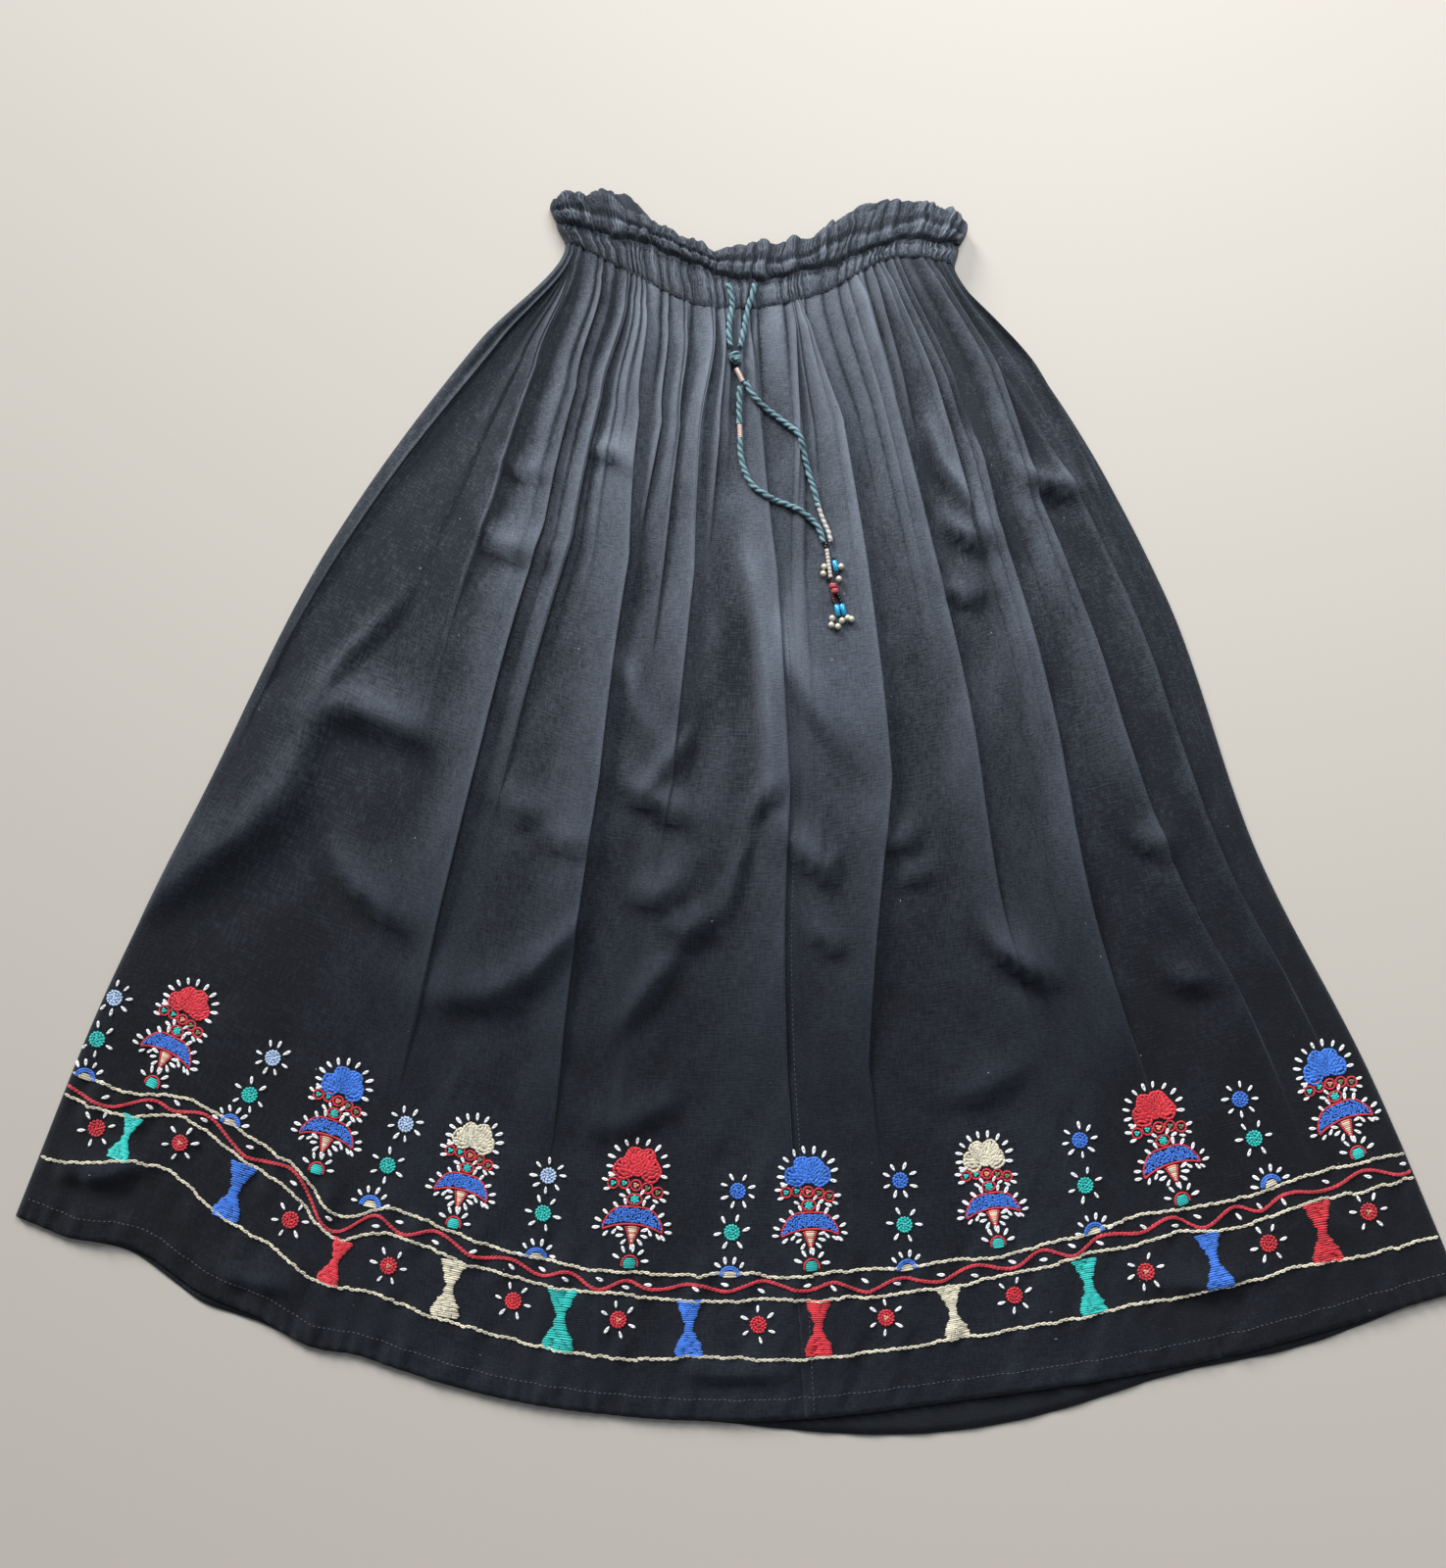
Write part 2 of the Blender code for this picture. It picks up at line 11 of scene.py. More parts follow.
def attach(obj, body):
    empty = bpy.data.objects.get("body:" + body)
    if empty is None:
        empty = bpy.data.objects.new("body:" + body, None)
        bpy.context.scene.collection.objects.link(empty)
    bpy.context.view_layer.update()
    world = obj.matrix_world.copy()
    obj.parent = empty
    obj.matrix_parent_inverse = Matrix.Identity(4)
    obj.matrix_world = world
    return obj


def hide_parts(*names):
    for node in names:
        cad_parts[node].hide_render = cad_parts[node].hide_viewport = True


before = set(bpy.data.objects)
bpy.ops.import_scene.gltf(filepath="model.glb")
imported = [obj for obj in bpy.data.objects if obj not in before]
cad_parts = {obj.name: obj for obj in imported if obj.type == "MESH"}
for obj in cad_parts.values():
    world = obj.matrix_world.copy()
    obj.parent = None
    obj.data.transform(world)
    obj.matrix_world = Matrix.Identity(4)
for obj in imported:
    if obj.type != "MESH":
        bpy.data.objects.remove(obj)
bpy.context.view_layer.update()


# The back panel
# One panel of black cotton, gathered at the waist and cut wider at the hem. It is laid
# right side down on the floor, and its hem shows a little below the front's.
LENGTH = 0.775
CENTRE = (0.0060, 0.00276)    # the middle of the laid cloth in the tables, which goes to the origin
CLOTH = 0.0005
UPPER_EDGE = -0.006
Section = namedtuple("Section", "share left_x left_y right_x right_y dip_1 dip_2 dip_3 dip_4 dip_5")
SECTIONS = np.array([Section(*row) for row in (
    (-0.052, -0.128, 0.436, 0.172, 0.420, 0.005, 0.029, 0.033, 0.015, -0.006),
    (-0.024, -0.121, 0.417, 0.163, 0.400, 0.011, 0.026, 0.036, 0.023, 0.002),
    (0.000, -0.118, 0.405, 0.163, 0.387, 0.022, 0.042, 0.042, 0.027, 0.000),
    (0.120, -0.180, 0.332, 0.221, 0.312, 0.031, 0.056, 0.061, 0.045, 0.015),
    (0.350, -0.284, 0.184, 0.309, 0.150, 0.042, 0.076, 0.084, 0.068, 0.034),
    (0.600, -0.369, 0.006, 0.372, -0.040, 0.047, 0.087, 0.094, 0.076, 0.042),
    (0.800, -0.435, -0.137, 0.442, -0.184, 0.052, 0.098, 0.106, 0.086, 0.047),
    (1.000, -0.490, -0.284, 0.502, -0.334, 0.058, 0.104, 0.112, 0.088, 0.053),
)])
SIXTHS = np.linspace(0.0, 1.0, 7)
Drop = namedtuple("Drop", "u half_width drop")
# How far the front's hem line strays from the sections, and how far the back's hem shows below it
WANDERS = [Drop(0.085, 0.055, -0.0120), Drop(0.205, 0.040, 0.0065)]
BACK_HEM = [Drop(0.655, 0.200, 0.0205), Drop(0.880, 0.110, 0.0060), Drop(0.125, 0.100, 0.0055)]


def blend(t, step, start, leave, end, arrive):
    """A smooth curve from start to end with the slopes leave and arrive."""
    return ((1 + 2 * t) * (1 - t) ** 2 * start + t * (1 - t) ** 2 * step * leave
            + t * t * (3 - 2 * t) * end + t * t * (t - 1) * step * arrive)


def through(x, knots, values):
    """A smooth curve through every row of a table, read at each x."""
    slopes = np.gradient(values, knots, axis=0)
    i = np.clip(np.searchsorted(knots, x) - 1, 0, len(knots) - 2)
    step = (knots[i + 1] - knots[i])[:, None]
    t = (x[:, None] - knots[i][:, None]) / step
    return blend(t, step, values[i], slopes[i], values[i + 1], slopes[i + 1])


def ease(t):
    """From 0 to 1 without a corner."""
    t = np.clip(t, 0.0, 1.0)
    return t * t * (3 - 2 * t)


def hump(distance, half_width):
    """A soft bump, 1 in its middle and 0 at its half width."""
    return 0.5 + 0.5 * np.cos(np.pi * np.minimum(np.abs(distance) / half_width, 1.0))


def laid(u, v):
    """Where the cloth lies, seen from above: u across from the left side, v down from the waist."""
    edges = through(v, SECTIONS[:, 0], SECTIONS[:, 1:])
    dips = np.pad(edges[:, 4:], ((0, 0), (1, 1)))
    slopes = np.gradient(dips, SIXTHS, axis=1)
    i = np.clip(np.searchsorted(SIXTHS, u) - 1, 0, 5)
    row = np.arange(len(u))
    t = (u - SIXTHS[i]) * 6
    dip = blend(t, 1 / 6, dips[row, i], slopes[row, i], dips[row, i + 1], slopes[row, i + 1])
    low = ease((v - 0.70) / 0.20)
    for wander in WANDERS:
        dip = dip + low * wander.drop * hump(u - wander.u, wander.half_width)
    x = (1 - u) * edges[:, 0] + u * edges[:, 2] - CENTRE[0]
    y = (1 - u) * edges[:, 1] + u * edges[:, 3] - dip - CENTRE[1]
    return x, y


def width_at(v):
    """Width of the laid skirt at share v."""
    edges = through(v, SECTIONS[:, 0], SECTIONS[:, 1:])
    return edges[:, 2] - edges[:, 0]


def rounded(u, v, radius):
    """0 at the side folds, rising to 1 over a round of the given radius."""
    inward = np.clip(np.minimum(u, 1 - u) * width_at(v) / radius, 0.0, 1.0)
    return np.sqrt(1 - (1 - inward) ** 2)


def paint(red, green, blue):
    """A colour as it looks on a screen, 0 to 255, as the shader's own numbers."""
    def linear(value):
        value /= 255
        return value / 12.92 if value <= 0.04045 else ((value + 0.055) / 1.055) ** 2.4
    return (linear(red), linear(green), linear(blue), 1.0)


def node(tree, kind, **settings):
    """A new node with its settings; in_3 is input 3, given a value or a socket to link."""
    made = tree.nodes.new(kind)
    for key, value in settings.items():
        if not key.startswith("in_"):
            setattr(made, key, value)
        elif isinstance(value, bpy.types.NodeSocket):
            tree.links.new(value, made.inputs[int(key[3:])])
        else:
            made.inputs[int(key[3:])].default_value = value
    return made


def maths(tree, operation, first, second):
    """A Math node on two sockets or numbers, as its output socket."""
    return node(tree, "ShaderNodeMath", operation=operation, in_0=first, in_1=second).outputs[0]


def mixed(tree, share, low, high):
    """Two colours mixed by a socket, as an output socket."""
    return node(tree, "ShaderNodeMix", data_type="RGBA", in_0=share, in_6=low, in_7=high).outputs[2]


def new_material(name, settings):
    """A new material with the given shader inputs, and its node tree."""
    material = bpy.data.materials.new(name)
    material.use_nodes = True
    shader = material.node_tree.nodes["Principled BSDF"]
    for label, value in settings.items():
        shader.inputs[label].default_value = value
    return material, material.node_tree


def cover(tree, colour, height, strength, depth):
    """Joins a colour, and a bump from a height, to a material's shader."""
    shader = tree.nodes["Principled BSDF"]
    bump = node(tree, "ShaderNodeBump", in_0=strength, in_1=depth)
    tree.links.new(height, bump.inputs["Height"])
    tree.links.new(colour, shader.inputs["Base Color"])
    tree.links.new(bump.outputs[0], shader.inputs["Normal"])


STREAK = 0.16    # how much a thread's noise is drawn out along the thread
SPECKS_PER_METRE = 170.0
SPECK_RADIUS = 0.075
SPECK_SHARE = 0.035


def weave_group():
    """Washed plain weave: uneven threads both ways, a mottled dye, and specks of lint."""
    group = bpy.data.node_groups.new("plain_weave", "ShaderNodeTree")
    for label, side in (("Threads per metre", "INPUT"), ("Height", "OUTPUT"), ("Mottle", "OUTPUT"),
                        ("Lint", "OUTPUT")):
        group.interface.new_socket(label, in_out=side, socket_type="NodeSocketFloat")
    inside = node(group, "NodeGroupInput")
    cut = node(group, "ShaderNodeUVMap", uv_map="weave").outputs[0]
    streaks = []
    for ways in ((1.0, STREAK, 1.0), (STREAK, 1.0, 1.0)):
        stretch = node(group, "ShaderNodeVectorMath", operation="MULTIPLY", in_0=cut, in_1=ways)
        thread = node(group, "ShaderNodeTexNoise", in_0=stretch.outputs[0], in_2=inside.outputs[0],
                      in_3=3.0, in_4=0.65)
        streaks.append(thread.outputs[0])
    threads = maths(group, "ADD", *streaks)
    dye = node(group, "ShaderNodeTexNoise", in_0=cut, in_2=34.0, in_3=4.0, in_4=0.62).outputs[0]
    grain = maths(group, "MULTIPLY", maths(group, "SUBTRACT", threads, 1.0), 0.85)
    cloud = maths(group, "MULTIPLY", maths(group, "ADD", dye, 0.5), 0.5)
    speck = node(group, "ShaderNodeTexVoronoi", in_0=cut, in_2=SPECKS_PER_METRE)
    apart = node(group, "ShaderNodeSeparateColor", in_0=speck.outputs["Color"])
    small = maths(group, "LESS_THAN", speck.outputs["Distance"], SPECK_RADIUS)
    rare = maths(group, "GREATER_THAN", apart.outputs[0], 1 - SPECK_SHARE)
    node(group, "NodeGroupOutput", in_0=threads, in_1=maths(group, "ADD", grain, cloud),
         in_2=maths(group, "MULTIPLY", small, rare))
    return group


PLAIN_WEAVE = weave_group()
THREADS_PER_METRE = 950.0
LINT = paint(150, 150, 150)


def cotton(name, waist, hem):
    """Black cotton, faded to charcoal on the ridges and towards the waist, with painted light over that:
    lighter towards the waist as if the light fell off towards the hem, a painted highlight on the ridges
    and painted shade in the hollows.

    waist and hem are pairs of colours, one for the hollows, which holds painted shade, and one for the
    ridges, which holds painted highlight.
    """
    material, tree = new_material(name, {
        "Roughness": 0.9, "Specular IOR Level": 0.25, "Sheen Weight": 0.22, "Sheen Roughness": 0.45,
        "Sheen Tint": paint(190, 200, 215)})
    weave = node(tree, "ShaderNodeGroup", node_tree=PLAIN_WEAVE, in_0=THREADS_PER_METRE)
    place = node(tree, "ShaderNodeTexCoord")
    apart = node(tree, "ShaderNodeSeparateXYZ", in_0=place.outputs["Object"])
    # Lighter towards the waist: partly real fading, partly painted light that falls off from the waist to
    # the hem.
    up = node(tree, "ShaderNodeMapRange", interpolation_type="SMOOTHSTEP", in_0=apart.outputs[1],
              in_1=-0.22, in_2=0.45)
    # The attribute read here makes ridges lighter and hollows darker: partly real wear, partly painted
    # highlight and painted shade.
    crest = node(tree, "ShaderNodeAttribute", attribute_name="crest").outputs["Fac"]
    lightness = maths(tree, "ADD", crest, maths(tree, "MULTIPLY", weave.outputs[1], 0.9))
    lightness = maths(tree, "SUBTRACT", lightness, 0.44)
    faded_and_lit = mixed(tree, up.outputs[0], mixed(tree, lightness, *hem), mixed(tree, lightness, *waist))
    cover(tree, mixed(tree, weave.outputs[2], faded_and_lit, LINT), weave.outputs[0], 0.8, 0.0007)
    return material


def placed(name, mesh, *materials):
    """A new smooth piece from a mesh, riding on the skirt's one body."""
    mesh.shade_smooth()
    for material in materials:
        mesh.materials.append(material)
    piece = bpy.data.objects.new(name, mesh)
    bpy.context.scene.collection.objects.link(piece)
    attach(piece, "root")
    return piece


def sheet_of_cotton(name, columns, rows, cut, place, material):
    """A thin sheet of cloth from a plain grid, moved by place(across, down).

    Its UV map holds the same shares in metres of the flat cut, for the weave.
    """
    net = bmesh.new()
    bmesh.ops.create_grid(net, x_segments=columns, y_segments=rows, size=0.5)
    mesh = bpy.data.meshes.new(name)
    net.to_mesh(mesh)
    net.free()
    flat = np.empty(3 * len(mesh.vertices))
    mesh.vertices.foreach_get("co", flat)
    across, down = flat[0::3] + 0.5, 0.5 - flat[1::3]
    spots, crest = place(across, down)
    mesh.vertices.foreach_set("co", spots.ravel())
    corners = np.empty(len(mesh.loops), dtype=np.int32)
    mesh.loops.foreach_get("vertex_index", corners)
    weave = mesh.uv_layers.new(name="weave")
    weave.data.foreach_set("uv", (np.column_stack([across, down])[corners] * cut).ravel())
    # The second value from place is how light the cloth is painted: partly real wear and fading, partly
    # painted highlight on ridges and painted shade in hollows.
    mark = mesh.attributes.new("crest", "FLOAT", "POINT")
    mark.data.foreach_set("value", np.clip(crest, 0.0, 1.0))
    piece = placed(name, mesh, material)
    thick = piece.modifiers.new("thickness", "SOLIDIFY")
    thick.thickness = CLOTH
    thick.offset = -1.0
    return piece


def dense_ends(share, strength):
    """Moves shares of a row towards both its ends."""
    return share - strength * np.sin(2 * np.pi * share) / (2 * np.pi)


def down_share(down, strength):
    """Shares down from the waist for a panel's rows, which start at its upper edge."""
    return UPPER_EDGE + (1 - UPPER_EDGE) * dense_ends(down, strength)


black_back = cotton("black_cotton_back", (paint(50, 55, 63), paint(122, 130, 142)),
                    (paint(17, 19, 24), paint(34, 38, 45)))


def back_place(across, down):
    """The back's points: flat on the floor, rolled up a little at both sides."""
    u = dense_ends(across, 0.4)
    v = down_share(down, 0.3)
    low = ease((v - 0.80) / 0.20)
    for row in BACK_HEM:
        v = v + low * row.drop / LENGTH * hump(u - row.u, row.half_width)
    x, y = laid(u, v)
    ripple = 0.0008 * np.sin(90 * u + 2.0) * ease((v - 0.5) / 0.3)
    height = 0.0009 + np.abs(ripple) * rounded(u, v, 0.02)
    # The back is painted lighter where its ripples rise: partly real wear, partly painted highlight.
    return np.column_stack([x, y, height]), 0.25 + 200 * np.abs(ripple)


back_panel = sheet_of_cotton("skirt_back", 120, 80, (1.05, LENGTH), back_place, black_back)
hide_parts("back")


# The front panels
# Two panels of the same cotton, sewn together down the centre front. The gathers at the
# waist fan out into soft pressed pleats that lie over to the right and fade to the hem.
Pleat = namedtuple("Pleat", "name cells u_02 u_12 u_25 u_45 u_70 v_top v_foot height gentle sharp")
STOPS = (0.02, 0.12, 0.25, 0.45, 0.70)
PLEATS = [Pleat(*row) for row in (
    ("side_left", 12, 0.022, 0.030, 0.020, 0.010, 0.010, 0.00, 0.62, 0.0030, 0.008, 0.0020),
    ("outer_left", 50, 0.030, 0.100, 0.139, 0.165, 0.185, 0.03, 0.38, 0.0050, 0.022, 0.0050),
    ("left", 34, 0.095, 0.172, 0.210, 0.222, 0.230, 0.00, 0.82, 0.0085, 0.030, 0.0028),
    ("left_tuck", 26, 0.162, 0.218, 0.250, 0.254, 0.256, 0.00, 0.56, 0.0060, 0.022, 0.0026),
    ("inner_left", 40, 0.207, 0.283, 0.326, 0.346, 0.353, 0.00, 0.86, 0.0090, 0.034, 0.0024),
    ("thin_left", 20, 0.262, 0.325, 0.340, 0.352, 0.360, 0.00, 0.26, 0.0045, 0.014, 0.0020),
    ("middle_left", 22, 0.310, 0.358, 0.376, 0.395, 0.400, 0.00, 0.36, 0.0055, 0.016, 0.0022),
    ("seam_left", 24, 0.376, 0.391, 0.416, 0.425, 0.412, 0.00, 0.54, 0.0068, 0.020, 0.0024),
    ("seam_thin", 16, 0.405, 0.428, 0.438, 0.446, 0.450, 0.00, 0.25, 0.0042, 0.012, 0.0020),
    ("seam", 36, 0.474, 0.503, 0.531, 0.551, 0.546, 0.02, 0.98, 0.0042, 0.036, 0.0024),
    ("seam_right", 26, 0.572, 0.569, 0.556, 0.566, 0.566, 0.00, 0.22, 0.0045, 0.016, 0.0022),
    ("inner_right", 34, 0.598, 0.640, 0.650, 0.657, 0.615, 0.00, 0.86, 0.0088, 0.032, 0.0024),
    ("right", 52, 0.745, 0.736, 0.740, 0.751, 0.760, 0.00, 0.74, 0.0075, 0.028, 0.0034),
    ("right_thin", 16, 0.776, 0.762, 0.756, 0.772, 0.780, 0.00, 0.18, 0.0040, 0.010, 0.0022),
    ("right_tuck", 22, 0.806, 0.811, 0.801, 0.803, 0.805, 0.00, 0.31, 0.0062, 0.018, 0.0024),
    ("outer_right", 26, 0.850, 0.850, 0.830, 0.836, 0.833, 0.16, 0.86, 0.0080, 0.028, 0.0040),
    ("far_right", 36, 0.926, 0.914, 0.892, 0.903, 0.930, 0.00, 0.88, 0.0080, 0.028, 0.0036),
    ("side_dent", 30, 0.955, 0.926, 0.945, 0.955, 0.971, 0.09, 0.84, 0.0065, 0.022, 0.0034),
    ("side_right", 22, 0.985, 0.990, 0.977, 0.985, 0.992, 0.03, 0.56, 0.0030, 0.007, 0.0020),
)]
SEAM = [pleat.name for pleat in PLEATS].index("seam")
LAST_CELLS = 16
Swell = namedtuple("Swell", "v top gather")
SWELLS = np.array([Swell(*row) for row in (
    (-0.006, 0.0088, 0.0010), (-0.001, 0.0094, 0.0026), (0.004, 0.0100, 0.0040),
    (0.012, 0.0103, 0.0048), (0.030, 0.0108, 0.0052), (0.080, 0.0090, 0.0048),
    (0.150, 0.0070, 0.0038), (0.240, 0.0058, 0.0026), (0.360, 0.0050, 0.0014),
    (0.500, 0.0046, 0.0004), (0.750, 0.0042, 0.0), (1.000, 0.0034, 0.0),
)])
Ridge = namedtuple("Ridge", "height rise drop path")    # a path's points are in millimetres
RIDGES = [Ridge(*row) for row in (
    (0.0125, 0.034, 0.0140, ((-296, 64), (-280, 67), (-262, 63), (-238, 53), (-214, 45))),
    (0.0059, 0.010, 0.0056, ((-293, 75), (-277, 99), (-260, 116), (-235, 143))),
    (0.0112, 0.044, 0.0208, ((-410, -72), (-382, -48), (-346, -23), (-318, 8), (-308, 40), (-293, 64))),
    (0.0117, 0.034, 0.0112, ((-279, -33), (-273, -48), (-262, -63), (-242, -80), (-230, -86))),
    (0.0091, 0.026, 0.0072, ((-183, 198), (-175, 185), (-166, 178), (-144, 173))),
    (0.0052, 0.012, 0.0056, ((-176, 241), (-154, 233), (-134, 229))),
    (0.0072, 0.012, 0.0064, ((-104, 253), (-95, 246), (-86, 245), (-78, 232))),
    (0.0072, 0.014, 0.0112, ((-86, 98), (-73, 86), (-69, 65), (-55, 35))),
    (0.0078, 0.009, 0.0080, ((-68, 7), (-44, 32), (-32, 50))),
    (0.0104, 0.022, 0.0080, ((-77, 10), (-66, 2), (-52, -5), (-32, -15))),
    (0.0078, 0.022, 0.0080, ((-137, -22), (-121, -29), (-105, -33))),
    (0.0059, 0.020, 0.0080, ((-169, 2), (-152, -8), (-131, -9))),
    (0.0065, 0.010, 0.0072, ((-144, -121), (-126, -103), (-108, -82))),
    (0.0084, 0.034, 0.0144, ((-214, -137), (-171, -134), (-133, -113))),
    (0.0078, 0.020, 0.0096, ((-76, -63), (-57, -68), (-36, -56))),
    (0.0065, 0.016, 0.0096, ((-84, -160), (-62, -131), (-38, -103))),
    (0.0078, 0.016, 0.0096, ((-52, -82), (-36, -92), (-15, -79))),
    (0.0097, 0.040, 0.0128, ((33, 121), (41, 90), (55, 62), (78, 32))),
    (0.0091, 0.026, 0.0112, ((33, -22), (48, -39), (60, -49), (70, -39))),
    (0.0065, 0.014, 0.0080, ((50, -91), (65, -100), (77, -98))),
    (0.0150, 0.050, 0.0110, ((6, 178), (15, 130), (21, 80), (23, 35), (22, -5))),
    (0.0065, 0.010, 0.0064, ((4, -19), (16, 2), (33, 10))),
    (0.0052, 0.010, 0.0064, ((-8, -79), (0, -45), (12, -18))),
    (0.0084, 0.018, 0.0080, ((101, -26), (113, -30), (126, -22))),
    (0.0059, 0.014, 0.0072, ((110, -49), (124, -53), (135, -49))),
    (0.0117, 0.028, 0.0080, ((174, -91), (184, -107), (198, -117), (217, -125))),
    (0.0105, 0.014, 0.0072, ((149, 198), (161, 187), (175, 182))),
    (0.0085, 0.016, 0.0056, ((145, 149), (160, 144), (176, 146))),
    (0.0105, 0.012, 0.0064, ((136, 269), (146, 236), (163, 208), (176, 188))),
    (0.0105, 0.018, 0.0072, ((201, 229), (219, 223), (241, 219))),
    (0.0084, 0.022, 0.0112, ((297, -121), (310, -126), (328, -125))),
    (0.0075, 0.016, 0.0080, ((272, -24), (288, -33), (307, -30))),
    (0.0059, 0.024, 0.0112, ((-102, -226), (-76, -224), (-42, -206))),
    (0.0059, 0.024, 0.0112, ((140, -206), (167, -201), (201, -182))),
    (0.0065, 0.020, 0.0096, ((-464, -257), (-438, -259), (-404, -251))),
    (0.0052, 0.018, 0.0096, ((-360, -318), (-335, -329), (-302, -335))),
    (0.0059, 0.022, 0.0096, ((285, -331), (318, -333), (359, -322))),
    (0.0046, 0.020, 0.0080, ((-35, -390), (-8, -392), (32, -391))),
)]
HEM_BAND = 0.018
HEM_STEP = 0.0006
DRAWN_ROWS = (0.874, 0.896, 0.946, 0.984)    # shares down where stitches draw the cloth in
SEAM_GROOVE = 0.0007
SIDE_HEIGHT = 0.0012
LEAN_REACH = 0.006
RISE_POWER = 1.35
UNDERCUT = 0.28    # how far a wrinkle dips beyond its drop, as a share of its height
# How light the front is painted: ridges of folds, gathers, wrinkles and ripples lighter, partly real wear
# and partly painted highlight; pleat edges with a painted highlight and painted shadow; painted shade in
# the lines between gathers.
WearAndShade = namedtuple("WearAndShade", "base fold gather dent ripple rubbed between")
WEAR_AND_SHADE = WearAndShade(base=0.31, fold=38, gather=90, dent=38, ripple=120, rubbed=0.16, between=0.26)
GATHER_MIDDLE = 0.0015
GATHERS = 54
chance = np.random.default_rng(11)
gather_edges = np.cumsum(chance.uniform(0.55, 1.45, GATHERS))
gather_edges = np.concatenate([[0.0], gather_edges / gather_edges[-1]])
gather_size = chance.uniform(0.55, 1.0, GATHERS)
gather_reach = chance.choice([0.10, 0.16, 0.24, 0.34, 0.46], GATHERS)
gather_skew = chance.uniform(1.1, 3.0, GATHERS)
ripple_turns = chance.uniform(0.0, 2 * np.pi, 14)
CREASES = 90
creases = np.column_stack([
    chance.uniform(-0.47, 0.47, CREASES), chance.uniform(-0.40, 0.10, CREASES),
    chance.uniform(0.0006, 0.0018, CREASES) * chance.choice([-1.0, 1.0], CREASES),
    chance.uniform(0.0035, 0.0080, CREASES), chance.uniform(0.012, 0.040, CREASES),
    chance.normal(0.0, 0.6, CREASES),
])


def pleat_line(pleat, v):
    """Where a pleat's sharp edge runs at share v."""
    return np.interp(v, STOPS, pleat[2:7])


CELLS = np.array([0] + [pleat.cells for pleat in PLEATS] + [LAST_CELLS])
LINE_SHARES = np.cumsum(CELLS) / CELLS.sum()


def along_columns(m, v):
    """Where the cloth's column m, a share of all its columns, runs at share v."""
    lines = np.array([0 * v] + [pleat_line(pleat, v) for pleat in PLEATS] + [0 * v + 1])
    i = np.clip(np.searchsorted(LINE_SHARES, m, side="right") - 1, 0, len(LINE_SHARES) - 2)
    t = (m - LINE_SHARES[i]) / (LINE_SHARES[i + 1] - LINE_SHARES[i])
    point = np.arange(len(m))
    t = dense_ends(t, 0.45)
    return (1 - t) * lines[i, point] + t * lines[i + 1, point]


def gathers(m, v):
    """Height of the small gathers, and how near each point is to the line between two."""
    i = np.clip(np.searchsorted(gather_edges, m, side="right") - 1, 0, GATHERS - 1)
    t = (m - gather_edges[i]) / (gather_edges[i + 1] - gather_edges[i])
    arch = np.sin(np.pi * np.clip(t, 0.0, 1.0) ** gather_skew[i]) ** 0.42
    fade = ease((gather_reach[i] * 1.25 - v) / (gather_reach[i] * 0.9))
    line = np.exp(-(np.minimum(t, 1 - t) / 0.10) ** 2) * fade
    return gather_size[i] * arch * fade, line


def ridge_height(x, y, ridge):
    """Height of a wrinkle: a slow rise on the left of its path and a short drop on its right."""
    path = np.array(ridge.path) / 1000
    steps = np.diff(path, axis=0)
    lengths = np.hypot(*steps.T)
    best = np.full(len(x), 9.0)
    side = np.zeros(len(x))
    along = np.zeros(len(x))
    for k, (start, step, length) in enumerate(zip(path[:-1], steps, lengths)):
        right, up = x - start[0], y - start[1]
        share = (right * step[0] + up * step[1]) / length ** 2
        held = np.clip(share, 0.0, 1.0)
        reach = np.hypot(right - held * step[0], up - held * step[1])
        near = reach < best
        best = np.where(near, reach, best)
        lean = (right * step[1] - up * step[0]) / (length * np.maximum(reach, 1e-6))
        side = np.where(near, lean, side)
        along = np.where(near, lengths[:k].sum() + held * length, along)
    fade = np.sin(np.pi * np.clip(0.08 + 0.84 * along / lengths.sum(), 0.0, 1.0)) ** 0.8
    rising = np.exp(-1.7 * (best / ridge.rise) ** RISE_POWER)
    dip = UNDERCUT * hump(best - 1.6 * ridge.drop, 1.5 * ridge.drop)
    falling = 1 - ease(best / ridge.drop) - dip
    over = ease(0.5 + 0.7 * side)
    end = hump(best, 3 * (ridge.rise + ridge.drop))
    return ridge.height * fade * end * ((1 - over) * rising + over * falling)


def pleated(u, v, width):
    """What the pleats do: the height they add, how far they lean over, and the painted highlight along
    their edges less the painted shadow at their feet.
    """
    fold, slip, rubbed = np.zeros((3, len(u)))
    for pleat in PLEATS:
        off = (u - pleat_line(pleat, v)) * width
        span = pleat.v_foot - pleat.v_top
        rise = ease((v - pleat.v_top + 0.012) / 0.05) * ease((pleat.v_foot - v) / (0.45 * span))
        gentle = pleat.gentle * (0.35 + 0.65 * ease((v - pleat.v_top) / 0.25))
        climb = np.clip(1 + off / gentle, 0.0, 1.0)
        fall = ease(off / pleat.sharp)
        lap = np.where(off <= 0, 0.5 * ease(climb) + 0.5 * climb ** 1.4, 1 - fall)
        over = np.where(off <= 0, 0.38 * np.exp(-(off / LEAN_REACH) ** 2), 0.38 - 0.60 * fall)
        back = 1 - ease((off - pleat.sharp) / LEAN_REACH)
        # lip is a painted highlight along a pleat's edge, foot a painted shadow line where the pleat drops
        # to the cloth beside it.
        lip = np.exp(-((off + 0.0012) / 0.0016) ** 2)
        foot = np.exp(-((off - 0.8 * pleat.sharp - 0.0006) / 0.0015) ** 2)
        fold = np.maximum(fold, pleat.height * rise * lap)
        slip += pleat.height * rise * over * back
        rubbed += rise * (lip - 1.7 * foot)
    return fold, slip, rubbed


